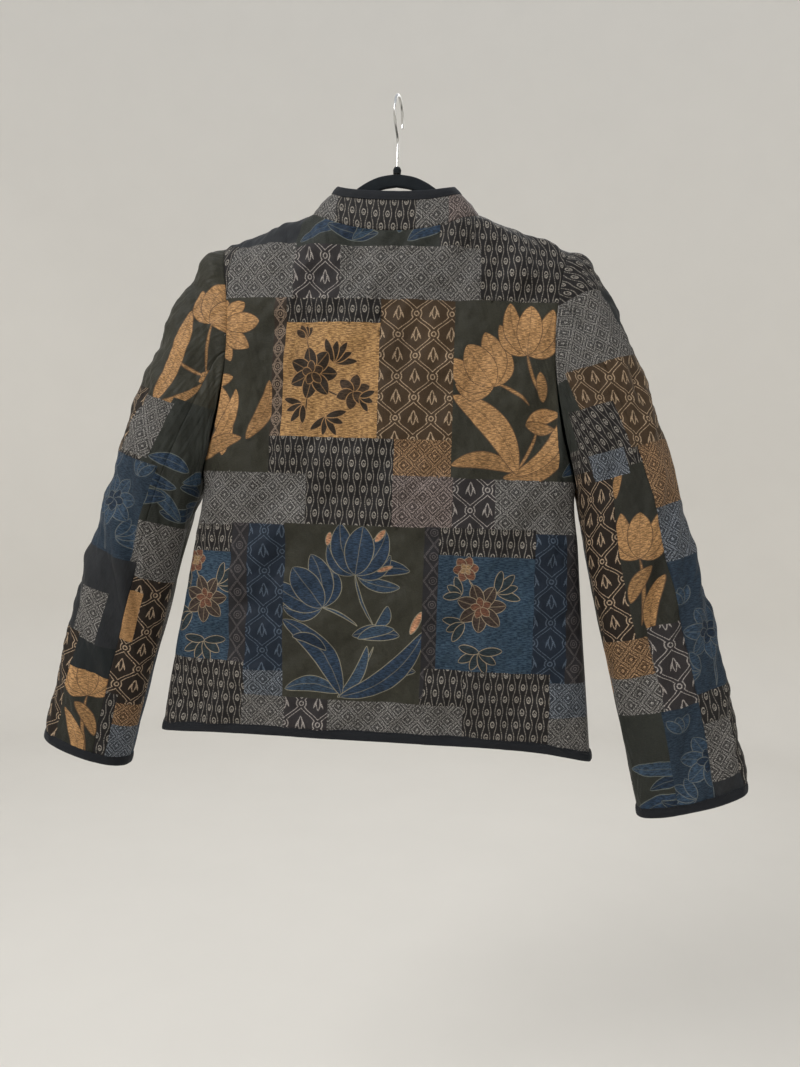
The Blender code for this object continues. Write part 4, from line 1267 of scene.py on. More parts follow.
LEFT_UPPER_PATCHES = (
    Patch(-10, 400, 430, 640, Fabric.OLIVE),
    Patch(-12, 140, 405, 592, Fabric.GOLD_SHOULDER),
    Patch(-12, 19, 515, 640, Fabric.EYE_DROP),
    Patch(-110, 30, 290, 430, Fabric.BLUE_OUTLINES),
    Patch(25, 71, 357, 423, Fabric.GREY_DIAMOND),
    Patch(71, 400, 350, 430, Fabric.DARK_OGEE),
    Patch(8, 78, 240, 352, Fabric.BLUE_FLOWER),
    Patch(-110, 8, 240, 290, Fabric.GREY_DIAMOND),
    Patch(78, 400, 200, 350, Fabric.OLIVE),
    Patch(100, 190, 215, 335, Fabric.GOLD_SLEEVE),
    Patch(-10, 78, 135, 240, Fabric.SLATE),
    Patch(24, 60, 135, 195, Fabric.GREY_DIAMOND),
    Patch(0, 70, 85, 135, Fabric.NIGHT),
    Patch(0, 50, -10, 100, Fabric.GOLD_BLOOM),
    Patch(50, 160, -10, 140, Fabric.DARK_OGEE),
    Patch(78, 400, 140, 200, Fabric.GREY_DIAMOND),
    Patch(160, 400, -10, 140, Fabric.BLUE_FLOWER),
)
LEFT_UNDER_PATCHES = (
    Patch(-300, 10, 430, 700, Fabric.OLIVE),
    Patch(-110, 10, 290, 430, Fabric.BLUE_OUTLINES),
    Patch(-300, -110, 290, 430, Fabric.OLIVE),
    Patch(-300, 10, 225, 290, Fabric.GREY_DIAMOND),
    Patch(-300, 10, 75, 225, Fabric.DARK_OGEE),
    Patch(-300, 10, 48, 75, Fabric.GOLD_DIAMOND),
    Patch(-300, 10, -10, 48, Fabric.SLATE_DIAMOND),
    Patch(-15, 10, 150, 208, Fabric.GOLD_PLAIN),
    Patch(-14, 10, -10, 85, Fabric.EYE_DROP),
)
RIGHT_UNDER_PATCHES = (
    Patch(-300, 10, 470, 700, Fabric.GREY_DIAMOND),
    Patch(-300, -60, 400, 475, Fabric.BLUE_OUTLINES),
    Patch(-60, 10, 387, 482, Fabric.BROWN_OGEE, -14.0),
    Patch(-90, -10, 370, 440, Fabric.EYE_DROP, 20.0),
    Patch(-300, -48, 190, 375, Fabric.DARK_OGEE),
    Patch(-48, 10, 190, 370, Fabric.GOLD_BLOOM),
    Patch(-75, -20, 362, 390, Fabric.SLATE_DIAMOND),
    Patch(-300, -37, 150, 192, Fabric.GOLD_DIAMOND),
    Patch(-300, -20, 112, 152, Fabric.GREY_DIAMOND),
    Patch(-36, 10, 112, 200, Fabric.MAUVE_OGEE),
    Patch(-95, -40, -10, 112, Fabric.BLUE_OUTLINES),
    Patch(-300, -95, -10, 112, Fabric.OLIVE),
    Patch(-40, 10, -10, 112, Fabric.BLUE_FLOWER),
)
RIGHT_UPPER_PATCHES = (
    Patch(-10, 400, 555, 700, Fabric.EYE_DROP),
    Patch(-60, 55, 478, 560, Fabric.GREY_DIAMOND),
    Patch(55, 400, 500, 560, Fabric.NIGHT),
    Patch(-60, 110, 387, 482, Fabric.BROWN_OGEE, -14.0),
    Patch(62, 110, 482, 520, Fabric.BROWN_OGEE),
    Patch(110, 400, 387, 500, Fabric.BLUE_OUTLINES),
    Patch(-10, 400, 320, 387, Fabric.GOLD_DIAMOND),
    Patch(-10, 400, 262, 320, Fabric.SLATE_DIAMOND),
    Patch(-10, 85, 120, 262, Fabric.BLUE_FLOWER),
    Patch(85, 400, 120, 262, Fabric.GOLD_TULIPS),
    Patch(-10, 400, 88, 120, Fabric.EYE_DROP),
    Patch(-10, 33, 25, 88, Fabric.GREY_DIAMOND),
    Patch(33, 400, -10, 88, Fabric.EYE_DROP),
    Patch(-10, 33, -10, 25, Fabric.SLATE),
)


def sample(grid: Grid, rows: Grid, columns: Grid) -> Grid:
    """Reads a grid between its points, at row and column places.

    Args:
        grid: The values.
        rows: Row places.
        columns: Column places.

    Returns:
        The value at each place.
    """
    i = np.clip(np.floor(rows).astype(int), 0, grid.shape[0] - 2)
    j = np.clip(np.floor(columns).astype(int), 0, grid.shape[1] - 2)
    down, right = rows - i, columns - j
    if grid.ndim == 3:
        down, right = down[..., None], right[..., None]
    near = grid[i, j] * (1 - right) + grid[i, j + 1] * right
    far = grid[i + 1, j] * (1 - right) + grid[i + 1, j + 1] * right
    return near * (1 - down) + far * down


def make_mesh(
    name: str,
    points: Grid,
    corners: Grid,
    finishes: Sequence[bpy.types.Material],
    layers: dict[str, Grid] | None = None,
    slots: Grid | int = 0,
) -> bpy.types.Object:
    """Makes an object of triangles.

    Args:
        name: The object's name.
        points: Its vertices.
        corners: Three vertex numbers for each triangle.
        finishes: Its materials.
        layers: The UV of each triangle's corners, by map name.
        slots: The number of each triangle's material.

    Returns:
        The object, linked to the scene.
    """
    mesh = bpy.data.meshes.new(name)
    mesh.vertices.add(len(points))
    mesh.vertices.foreach_set("co", points.astype(np.float32).ravel())
    mesh.loops.add(corners.size)
    mesh.loops.foreach_set("vertex_index", corners.astype(np.int32).ravel())
    mesh.polygons.add(len(corners))
    mesh.polygons.foreach_set("loop_start", np.arange(0, corners.size, 3, dtype=np.int32))
    mesh.update(calc_edges=True)
    slots = np.ascontiguousarray(np.broadcast_to(slots, len(corners)), np.int32)
    mesh.polygons.foreach_set("material_index", slots)
    for layer, places in (layers or {}).items():
        mesh.uv_layers.new(name=layer).data.foreach_set("uv", places.astype(np.float32).ravel())
    mesh.shade_smooth()
    for finish in finishes:
        mesh.materials.append(finish)
    return link(name, mesh)


def link(name: str, data: bpy.types.ID) -> bpy.types.Object:
    """Puts an object with the given mesh, curve, light or camera in the scene.

    Args:
        name: The object's name.
        data: What it shows.

    Returns:
        The object.
    """
    made = bpy.data.objects.new(name, data)
    bpy.context.scene.collection.objects.link(made)
    return made


def cell_corners(rows: int, columns: int, falling: Grid | bool = True) -> tuple[Grid, Grid]:
    """Triangles of a grid's cells.

    Args:
        rows: Points along the first axis.
        columns: Points along the second.
        falling: For each cell, whether it is cut from its first corner to its last.

    Returns:
        The row and the column of each triangle's three corners.
    """
    i, j = np.meshgrid(np.arange(rows - 1), np.arange(columns - 1), indexing="ij")
    corner = {"a": (i, j), "b": (i, j + 1), "c": (i + 1, j + 1), "d": (i + 1, j)}

    def picked(axis: int) -> Grid:
        """The row or column numbers of both triangles of every cell."""
        triangles = [
            [np.where(falling, corner[p][axis], corner[q][axis]) for p, q in zip(*cuts, strict=True)]
            for cuts in (("abc", "abd"), ("acd", "bcd"))
        ]
        return np.concatenate([np.stack(triangle, axis=-1).reshape(-1, 3) for triangle in triangles])

    return picked(0), picked(1)


@dataclass
class Panel:
    """One sewn piece of the garment: a two-sided shell whose patches are woven in."""

    name: str
    points: Grid
    u: Grid
    v: Grid
    side: int
    patches: tuple[Patch, ...]
    sewn: tuple[bool, bool, bool, bool]
    rests_on: tuple[str, ...] = ("hanger",)
    ground: Fabric = Fabric.EYE_DROP

    def patch_places(self) -> tuple[Grid, Grid, Grid]:
        """Row and column places drawn onto the patches' edges, and which points were drawn.

        Returns:
            The row places, the column places, and a mark at each drawn point.
        """
        u, v = self.u * 1000, self.v * 1000
        u_across, u_down = np.gradient(u, axis=1), np.gradient(u, axis=0)
        v_across, v_down = np.gradient(v, axis=1), np.gradient(v, axis=0)
        near_u, near_v = np.abs(u_across) * HALF_CELL, np.abs(v_down) * HALF_CELL
        goal_u, goal_v = u.copy(), v.copy()
        drawn = np.zeros(u.shape, bool)
        for patch in self.patches:
            beside = (v > patch.low - near_v) & (v < patch.high + near_v)
            above = (u > patch.left - near_u) & (u < patch.right + near_u)
            for goal, here, edges, near, along in (
                (goal_u, u, (patch.left, patch.right), near_u, beside),
                (goal_v, v, (patch.low, patch.high), near_v, above),
            ):
                for edge in edges:
                    hit = along & (np.abs(here - edge) <= near)
                    goal[hit] = edge
                    drawn |= hit
        du, dv = goal_u - u, goal_v - v
        area = u_across * v_down - u_down * v_across
        across = np.clip((du * v_down - dv * u_down) / area, -MOST_DRAWN, MOST_DRAWN)
        down = np.clip((dv * u_across - du * v_across) / area, -MOST_DRAWN, MOST_DRAWN)
        across[:, [0, -1]] = 0
        down[[0, -1]] = 0
        rows, columns = np.indices(u.shape).astype(float)
        return rows + down, columns + across, drawn

    def edge_share(self, reach: int, edges: tuple[bool, ...]) -> Grid:
        """0 on the named edges, rising to 1 some points in. Edges run bottom, right, top, left.

        Args:
            reach: How many points in the rise takes.
            edges: Which edges are named.

        Returns:
            The share at each point.
        """
        rows, columns = np.indices(self.u.shape)
        share = np.ones(self.u.shape)
        gaps = (rows, self.u.shape[1] - 1 - columns, self.u.shape[0] - 1 - rows, columns)
        for gap, wanted in zip(gaps, edges, strict=True):
            if wanted:
                share *= smooth_step(0.0, 1.0, gap / reach)
        return share

    def raised(self, folds: Sequence[Fold], along: Grid, around: Grid, ripples: Sequence[tuple]) -> None:
        """Lifts the cloth at its folds and small puckers.

        Args:
            folds: The folds, by place on the panel.
            along: The panel's first fold coordinate.
            around: Its second.
            ripples: Pairs of a Ripple and its height.
        """
        height = sum(fold_height(fold, along, around) for fold in folds)
        for ripple, size in ripples:
            height = height + ripple(self.u, self.v) * size
        height = height * self.edge_share(FOLD_REACH, (True, True, True, True))
        self.points = self.points + normals_of(self.points, self.side) * height[..., None]

    def shell(self, middle: Grid) -> Grid:
        """Points of the outer face and then of the lining, which near each other at sewn edges.

        Args:
            middle: Points halfway through the cloth.

        Returns:
            The points of both faces in one list.
        """
        normals = normals_of(self.points, self.side)
        taper = self.edge_share(SEAM_REACH, self.sewn)[..., None]
        outer = middle + normals * CLOTH_HALF * taper
        inner = middle - normals * (SEAM_RIM + (CLOTH_HALF - SEAM_RIM) * taper)
        return np.concatenate([outer.reshape(-1, 3), inner.reshape(-1, 3)])

    def face_corners(self, drawn: Grid) -> Grid:
        """Triangles of the outer face. A cell is cut along a patch's edge that runs through it.

        Args:
            drawn: Which points were drawn onto a patch's edge.

        Returns:
            Three numbers a triangle.
        """
        falling = ~(drawn[:-1, 1:] & drawn[1:, :-1]) | (drawn[:-1, :-1] & drawn[1:, 1:])
        rows, columns = cell_corners(*self.u.shape, falling)
        corners = rows * self.u.shape[1] + columns
        return corners[:, ::-1] if self.side < 0 else corners

    def bake_places(self, places: Grid) -> Grid:
        """Where each point of both faces lies on the baking map."""
        bake = (places - places.min(axis=0)) / np.ptp(places, axis=0) * BAKE_HALF + BAKE_MARGIN
        return np.concatenate([bake, bake + (0.5, 0.0)])

    def make(self, finishes: dict[Fabric, bpy.types.Material]) -> None:
        """Args:
            finishes: The material of each fabric.
        """
        rows_at, columns_at, drawn = self.patch_places()
        places = np.stack([sample(flat, rows_at, columns_at).ravel() for flat in (self.u, self.v)], axis=-1)
        face = self.face_corners(drawn)
        count = len(places)
        corners = np.concatenate([face, face[:, ::-1] + count, self.rim_corners(count)])
        fabrics = list(dict.fromkeys([self.ground, *(p.fabric for p in self.patches)]))
        slots, weave = self.woven(places[face], fabrics)
        behind = np.concatenate([places, places])[corners[len(face) :]]
        made = make_mesh(
            f"{self.name}_cloth",
            self.shell(sample(self.points, rows_at, columns_at)),
            corners,
            [finishes[fabric] for fabric in (*fabrics, Fabric.LINING)],
            {WEAVE_MAP: np.concatenate([weave, behind]), "OFBake": self.bake_places(places)[corners]},
            np.concatenate([slots, np.full(len(behind), len(fabrics))]),
        )
        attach(made, BODY)
        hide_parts(self.name)
        width, length = (float(round(s, 3)) for s in np.ptp(places, axis=0))
        size = width * 1000, length * 1000
        LOG.info("%s: %.0f by %.0f mm, %d triangles", self.name, *size, len(corners))

    def woven(self, corners: Grid, fabrics: list[Fabric]) -> tuple[Grid, Grid]:
        """The fabric of each triangle, and where its corners lie in the fabric's own pattern.

        Args:
            corners: The flat places of each triangle's corners.
            fabrics: The panel's fabrics.

        Returns:
            The number of each triangle's fabric, and its corners' places in the pattern.
        """
        middle = corners.mean(axis=1) * 1000
        slots = np.zeros(len(corners), int)
        weave = corners.copy()
        for patch in self.patches:
            inside = (middle[:, 0] > patch.left) & (middle[:, 0] < patch.right)
            inside &= (middle[:, 1] > patch.low) & (middle[:, 1] < patch.high)
            slots[inside] = fabrics.index(patch.fabric)
            turn = math.radians(patch.turn)
            away = corners[inside] - np.array([patch.left, patch.low]) / 1000
            cos, sin = math.cos(turn), math.sin(turn)
            weave[inside, :, 0] = away[..., 0] * cos + away[..., 1] * sin
            weave[inside, :, 1] = away[..., 1] * cos - away[..., 0] * sin
        return slots, weave

    def rim_corners(self, count: int) -> Grid:
        """Triangles that close the rim between the outer and the inner face.

        Args:
            count: How many points a face has.

        Returns:
            Three numbers a triangle.
        """
        number = np.arange(count).reshape(self.u.shape)
        loop = np.concatenate([number[0, :-1], number[:-1, -1], number[-1, :0:-1], number[:0:-1, 0]])
        after = np.roll(loop, -1)
        rim = np.concatenate(
            [np.stack([after, loop, loop + count], 1), np.stack([after, loop + count, after + count], 1)]
        )
        return rim[:, ::-1] if self.side < 0 else rim


@dataclass
class Body:
    """The back, the fronts and the collar."""

    form: BodyForm = field(default_factory=BodyForm)
    collar_rise: float = 0.042
    collar_rise_side: float = 0.029
    collar_lean: float = 0.008
    collar_lean_side: float = 0.028
    collar_bow: float = 0.0015
    ripples: tuple[tuple[Ripple, float], ...] = (
        (Ripple(3, 0.012, 0.034), 0.00055),
        (Ripple(4, 0.034, 0.095), 0.0017),
    )
    creases: tuple[Fold, ...] = (
        Fold(0.250, -0.205, 0.110, 0.010, 4.0, -0.0034),
        Fold(0.430, -0.162, 0.060, 0.009, -12.0, 0.0026),
        Fold(0.300, -0.168, 0.070, 0.008, 8.0, 0.0028),
        Fold(0.400, 0.148, 0.055, 0.008, 10.0, 0.0024),
        Fold(0.340, 0.178, 0.080, 0.009, 3.0, -0.0036),
        Fold(0.240, 0.200, 0.080, 0.010, -6.0, -0.0030),
        Fold(0.180, 0.010, 0.120, 0.030, 2.0, 0.0022),
        Fold(0.390, -0.020, 0.070, 0.012, -8.0, -0.0016),
        Fold(0.300, 0.040, 0.080, 0.012, 6.0, 0.0018),
        Fold(0.470, 0.060, 0.050, 0.020, 70.0, -0.0018),
        Fold(0.500, -0.120, 0.060, 0.014, 60.0, 0.0020),
    )

    def shaped(self) -> None:
        """Makes the panels' grids and lifts their folds."""
        half = self.form.half_shares()
        across = np.concatenate([-half[:0:-1], half])
        back = self.form.grid(across, -1, NECK_BACK_DROP)
        self.back = self.panel("back", back, 1, BACK_PATCHES, (False, True, True, True))
        middle = len(half) - 1
        self.back.u = self.back.u - self.back.u[:, middle : middle + 1]
        self.fronts = {}
        for name, sign in (("left", -1), ("right", 1)):
            grid = self.form.grid(half * sign, 1, NECK_FRONT_DROP)
            grid[:, 0, 0] = sign * FRONT_EDGE_X
            sewn = (False, True, True, False)
            self.fronts[name] = self.panel(f"front_{name}", grid, -sign, FRONT_PATCHES, sewn)
        for panel, folds in ((self.back, BACK_FOLDS), *((f, FRONT_FOLDS) for f in self.fronts.values())):
            along, around = panel.points[..., 2] - HEM_Z, panel.points[..., 0]
            around = around if panel is self.back else np.abs(around)
            panel.raised((*folds, *self.creases), along, around, self.ripples)
        self.collar = self.collar_panel()

    def panel(self, name: str, grid: Grid, side: int, patches: tuple, sewn: tuple) -> Panel:
        """A panel of the body, with its flat coordinates: length across and height above the hem."""
        level = grid if name == "back" else grid * (1, 1, 0)
        return Panel(name, grid, travelled(level, 1), grid[..., 2] - HEM_Z, side, patches, sewn)

    def collar_panel(self) -> Panel:
        """The collar, standing on the neck seam and leaning in most at the sides.

        Returns:
            The collar.
        """
        left, right = (self.fronts[name].points[-1] for name in ("left", "right"))
        back = self.back.points[-1]
        centre, reach = len(back) // 2, NECK_COLUMNS
        behind = back[centre - reach + 1 : centre + reach]
        neck = np.concatenate([left[: reach + 1], behind, right[reach::-1]])
        share = np.linspace(0, 1, COLLAR_ROWS + 1)[:, None, None]
        sideways = (np.minimum(np.abs(neck[:, :1]) / NECK_HALF_WIDTH, 1.0) ** 2)[None]
        toward = unit(-neck * (1, 1, 0))[None]
        lean = self.collar_lean + (self.collar_lean_side - self.collar_lean) * sideways
        rise = self.collar_rise + (self.collar_rise_side - self.collar_rise) * sideways
        inward = lean * share - self.collar_bow * np.sin(math.pi * share)
        grid = neck[None] + toward * inward + (0, 0, 1) * rise * share
        grid[:, 0, 0], grid[:, -1, 0] = -FRONT_EDGE_X, FRONT_EDGE_X
        u, v = travelled(grid, 1), travelled(grid, 0)
        u = u - u[:, u.shape[1] // 2][:, None]
        collar = Panel("collar", grid, u, v, 1, COLLAR_PATCHES, (True, False, False, False))
        collar.raised((), v, u, ((Ripple(8, 0.011, 0.034), 0.0003),))
        return collar

    def panels(self) -> list[Panel]:
        """All panels of the body."""
        return [self.back, *self.fronts.values(), self.collar]


@dataclass
class Sleeve:
    """One sleeve: its upper and its under piece."""

    name: str
    form: SleeveForm
    upper_patches: tuple[Patch, ...]
    under_patches: tuple[Patch, ...]
    creases: tuple[Fold, ...]
    seed: int

    def shaped(self, body: Body) -> None:
        """Makes the sleeve's grid, lifts its folds and parts it at the seams.

        Args:
            body: The body that the sleeve is sewn to.
        """
        grid = self.form.grid(body.form.armhole(self.form.sign))
        along, around = travelled(grid, 0), travelled(grid, 1)
        side = 1 if self.form.sign < 0 else -1
        whole = Panel(self.name, grid, around, along, side, (), (True, False, False, False))
        height = sum(fold_height(fold, along, around) for fold in (*self.form.folds, *self.creases))
        round_share = np.clip(around / around[:, -1:], 0.0, 1.0)
        off_seam = np.sqrt(np.maximum(np.sin(math.pi * round_share), 0.0))
        fine, broad = Ripple(self.seed, 0.013, 0.036), Ripple(self.seed + 1, 0.045, 0.12)
        for ripple, size in ((fine, 0.0005), (broad, 0.0015)):
            height = height + ripple(around, along) * size * off_seam
        height = height * whole.edge_share(5, (True, False, True, False))
        height[:, -1] = height[:, 0]
        normals = normals_of(grid, side)
        ends = unit(normals[:, 0] + normals[:, -1])
        normals[:, 0], normals[:, -1] = ends, ends
        self.points = grid + normals * height[..., None]
        seam = self.form.back_seam * (len(grid[0]) - 1) // SEAM_PLACES
        u = around - around[:, seam : seam + 1]
        v = along[-1:] - along
        self.parts = []
        for part, columns, patches in (
            ("upper", slice(seam, None), self.upper_patches),
            ("under", slice(0, seam + 1), self.under_patches),
        ):
            sewn = (True, True, False, True)
            name = f"sleeve_{self.name}_{part}"
            flat = u[:, columns], v[:, columns]
            self.parts.append(Panel(name, self.points[:, columns], *flat, side, patches, sewn, ("back",)))


@dataclass
class Edging:
    """A folded strip that binds a free edge of the cloth, puckered a little by its stitches."""

    name: str
    edge: Grid
    inner: Grid
    closed: bool = False
    flange: float = 0.0095
    fold: float = 0.0018
    half_thickness: float = 0.0023
    groove_depth: float = 0.0015
    pucker: float = 0.055
    widening: float = 0.02
    sway: float = 0.00021
    bake_slack: tuple[float, float] = (1.001, 1.02)
    seed: int = 20
    reaches: tuple[float, ...] = (1.00, 1.00, 0.94, 0.87, 0.74, 0.45, 0.15, -0.05, -0.14)
    heights: tuple[float, ...] = (0.36, 0.52, 0.66, 0.60, 0.82, 0.98, 1.00, 0.92, 0.62)

    def outline(self) -> list[tuple[float, float]]:
        """The strip's section: reach into the cloth in flanges, and height in half thicknesses.

        Returns:
            The section's corners in order.
        """
        outer = list(zip(self.reaches, self.heights, strict=True))
        tip = [(-self.fold / self.flange, 0.0)]
        under = [(s, -t) for s, t in reversed(outer)]
        groove = [(0.5, -0.33), (0.03, -0.30), (0.03, 0.30), (0.5, 0.33)]
        return outer + tip + under + groove

    def make(self, finish: bpy.types.Material) -> None:
        """Builds the strip along its edge.

        Args:
            finish: The strip's material.
        """
        if self.closed:
            ahead = np.roll(self.edge, -1, axis=0) - np.roll(self.edge, 1, axis=0)
        else:
            ahead = np.gradient(self.edge, axis=0)
        into = unit(self.inner - self.edge)
        up = unit(np.cross(unit(ahead), into))
        gone = gone_along(self.edge)
        wave = Ripple(self.seed, 0.009, 0.024)(gone, gone * 0)
        slow = Ripple(self.seed + 1, 0.04, 0.15)(gone, gone * 0)
        outline = np.array(self.outline())
        reach = outline[:, 0] * self.flange
        height = outline[:, 1] * self.half_thickness
        reach = reach * (1 + self.widening * slow[:, None])
        height = height * (1 + self.pucker * wave[:, None]) + self.sway * slow[:, None]
        points = self.edge[:, None] + into[:, None] * reach[..., None] + up[:, None] * height[..., None]
        if self.closed:
            points = np.concatenate([points, points[:1]])
            gone = np.append(gone, gone[-1] + np.linalg.norm(self.edge[0] - self.edge[-1]))
        ring = np.concatenate([points, points[:, :1]], axis=1)
        across = gone_along(outline * (self.flange, self.half_thickness))
        self.wrapped(ring, gone, np.append(across, across[-1] + self.groove_depth), finish)

    def wrapped(self, ring: Grid, gone: Grid, across: Grid, finish: bpy.types.Material) -> None:
        """Args:
            ring: The sections, each closed.
            gone: Distance along the strip.
            across: Distance round its section.
            finish: Its material.
        """
        rows, columns = cell_corners(*ring.shape[:2])
        count = ring.shape[1] - 1
        total = ring.shape[0] - 1
        number = (rows % total if self.closed else rows) * count + columns % count
        points = ring[: total if self.closed else None, :-1].reshape(-1, 3)
        flat = np.stack([gone[rows], across[columns]], axis=-1)
        if not self.closed:
            caps = np.array([(0, k + 1, k) for k in range(1, count - 1)])
            number = np.concatenate([number, caps, caps[:, ::-1] + total * count])
            flat = np.concatenate([flat, np.zeros((len(caps) * 2, 3, 2))])
        bake = flat / ((gone[-1], across[-1]) * np.array(self.bake_slack)) + 0.0001
        made = make_mesh(f"{self.name}_strip", points, number, [finish], {WEAVE_MAP: flat, "OFBake": bake})
        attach(made, BODY)
        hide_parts(self.name)


@dataclass
class Hanger:
    """The slim flocked hanger and its steel hook."""

    top_z: float = -0.082
    band: float = 0.014
    thickness: float = 0.005
    tip_x: float = 0.206
    steps: int = 120
    tip_steps: int = 14
    tip_turn: float = math.radians(88)
    ring_steps: int = 24
    boxiness: float = 0.42
    wire: float = 0.0032
    bend_radius: float = 0.0215
    turn: float = math.radians(6.5)
    start_angle: float = math.radians(205.0)
    end_angle: float = math.radians(-8.0)
    neck_z: float = -0.050
    lead: float = 0.010
    foot_gap: float = 0.00034
    bend_steps: int = 60
    swing_steps: int = 24
    shank_steps: int = 8
    roundness: int = 6
    reaches: tuple[float, ...] = (0.0, 0.020, 0.040, 0.060, 0.080, 0.100, 0.130, 0.170, 0.206)
    drops: tuple[float, ...] = (0.0, 0.0038, 0.0150, 0.0340, 0.0480, 0.0545, 0.0640, 0.0795, 0.0975)

    def spine(self) -> tuple[Grid, Grid, Grid]:
        """The band's middle line from end to end, the way across it and its half width.

        Returns:
            The points, the ways across and the half widths.
        """
        steps = np.linspace(0, self.tip_x, self.steps + 1)
        height = self.top_z - through(self.reaches, self.drops, steps) - self.band / 2
        centre = np.stack([steps, height], axis=1)
        ahead = unit(np.gradient(centre, axis=0))
        ahead[0] = (1.0, 0.0)
        turns = np.linspace(0, self.tip_turn, self.tip_steps + 1)[1:]
        centre = np.concatenate([centre, centre[-1] + ahead[-1] * np.sin(turns)[:, None] * self.band / 2])
        ahead = np.concatenate([ahead, np.repeat(ahead[-1:], self.tip_steps, axis=0)])
        half = np.concatenate([np.ones(self.steps + 1), np.cos(turns)]) * self.band / 2
        across = np.stack([-ahead[:, 1], ahead[:, 0]], axis=1)
        mirror = (-1, 1)
        return (
            np.concatenate([centre[:0:-1] * mirror, centre]),
            np.concatenate([across[:0:-1] * mirror, across]),
            np.concatenate([half[:0:-1], half])[:, None],
        )

    def band_mesh(self, flock: bpy.types.Material) -> bpy.types.Object:
        """The flat band with softened edges and round tips, as rings along its middle line.

        Args:
            flock: The band's material.

        Returns:
            The band.
        """
        centre, across, half = self.spine()
        angle = 2 * math.pi * np.arange(self.ring_steps) / self.ring_steps
        wide, deep = (np.sign(f) * np.abs(f) ** self.boxiness for f in (np.cos(angle), np.sin(angle)))
        reach = half * wide
        thin = np.minimum(half / self.thickness * 2, 1.0) * self.thickness / 2 * deep
        x = centre[:, :1] + across[:, :1] * reach
        z = centre[:, 1:] + across[:, 1:] * reach
        rings = np.stack([x, thin, z], axis=2)
        count, around = rings.shape[:2]
        rows, columns = cell_corners(count, around + 1)
        sides = rows * around + columns % around
        ring = np.arange(around)
        after = (ring + 1) % around
        last = (count - 1) * around
        near = np.stack([np.full(around, count * around), ring, after], axis=1)
        far = np.stack([np.full(around, count * around + 1), after + last, ring + last], axis=1)
        points = np.concatenate([rings.reshape(-1, 3), rings[[0, -1]].mean(axis=1)])
        corners = np.concatenate([sides, near, far])
        first = points[corners]
        volume = np.einsum("ij,ij->i", first[:, 0], np.cross(first[:, 1], first[:, 2])).sum()
        if volume < 0:
            corners = corners[:, ::-1]
        return make_mesh("hanger_band", points, corners, [flock])

    def hook_path(self) -> list[Vector]:
        """The wire's centreline: a shank, a swing towards the viewer and an open round bend.

        Returns:
            The points from the foot to the tip.
        """
        centre = Vector((0.0, self.wire / 2 - self.bend_radius))
        foot, neck = Vector((0.0, self.top_z + self.foot_gap)), Vector((0.0, self.neck_z))
        angles = np.linspace(self.start_angle, self.end_angle, self.bend_steps + 1)
        bend = [centre + Vector((math.cos(a), math.sin(a))) * self.bend_radius for a in angles]
        heading = Vector((math.sin(self.start_angle), -math.cos(self.start_angle)))
        controls = (neck, neck + Vector((0.0, self.lead)), bend[0] - heading * self.lead, bend[0])
        flat = [foot.lerp(neck, i / self.shank_steps) for i in range(self.shank_steps)]
        flat += geometry.interpolate_bezier(*(v.to_3d() for v in controls), self.swing_steps)[:-1]
        flat += bend
        return [Vector((p[0] * math.sin(self.turn), p[0] * math.cos(self.turn), p[1])) for p in flat]

    def hook_mesh(self, steel: bpy.types.Material) -> bpy.types.Object:
        """The round wire along its centreline, as a mesh.

        Args:
            steel: The wire's material.

        Returns:
            The hook.
        """
        curve = bpy.data.curves.new("hook_wire", "CURVE")
        curve.dimensions = "3D"
        curve.bevel_depth, curve.bevel_resolution = self.wire / 2, self.roundness
        curve.use_fill_caps = True
        path = self.hook_path()
        spline = curve.splines.new("POLY")
        spline.points.add(len(path) - 1)
        spline.points.foreach_set("co", [c for p in path for c in (*p, 1.0)])
        drawn = link("hook_line", curve)
        mesh = bpy.data.meshes.new_from_object(drawn.evaluated_get(bpy.context.evaluated_depsgraph_get()))
        bpy.data.objects.remove(drawn)
        mesh.shade_smooth()
        mesh.materials.clear()
        mesh.materials.append(steel)
        return link("hook_wire", mesh)

    def make(self, flock: bpy.types.Material, steel: bpy.types.Material) -> None:
        """Builds the band and the hook, and dresses the socket.

        Args:
            flock: The band's material.
            steel: The hook's.
        """
        for piece, node, slot in (
            (self.band_mesh(flock), "hanger", "hanger_flock"),
            (self.hook_mesh(steel), "hook", "hook_steel"),
        ):
            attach(piece, BODY)
            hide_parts(node)
            LOG.info("%s: %d faces", piece.name, len(piece.data.polygons))
        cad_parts["hook_socket"].data.materials[0] = flock


@dataclass(frozen=True)
class BindingTwill:
    """The near-black cotton strip that binds the edges, with a fine twill and a stitched line."""

    colour: Colour = (0.0050, 0.0062, 0.0088)
    sheen: Colour = (0.55, 0.62, 0.75)
    roughness: float = 0.82
    stitch_length: float = 3.1
    stitch_line: float = 1.9
    bump_height: float = 0.0004

    def dress(self) -> bpy.types.Material:
        """Makes the strip's material."""
        maker = Finisher("binding_twill")
        x, y = maker.place()
        yarn = maker.noise(x + y * 0.8, y - x * 0.8, (2.6, 0.7), 1.0)
        drift = maker.noise(x, y, (30.0, 6.0), 2.0)
        stitch = x.folded_in(self.stitch_length).within(1.0, 0.5) * (y - self.stitch_line).within(0.5, 0.4)
        shade = (yarn - 0.5) * 0.7 + (drift - 0.5) * 0.6 + 1.0 - stitch * 0.35
        maker.feed(Base_Color=maker.shade(self.colour, shade.most(0.2)))
        maker.feed(Roughness=(yarn - 0.5) * 0.2 + self.roughness, Specular_IOR_Level=0.3)
        maker.feed(Sheen_Weight=0.05, Sheen_Tint=self.sheen)
        maker.bump(yarn * 0.6 - stitch, self.bump_height, 0.8)
        return maker.material


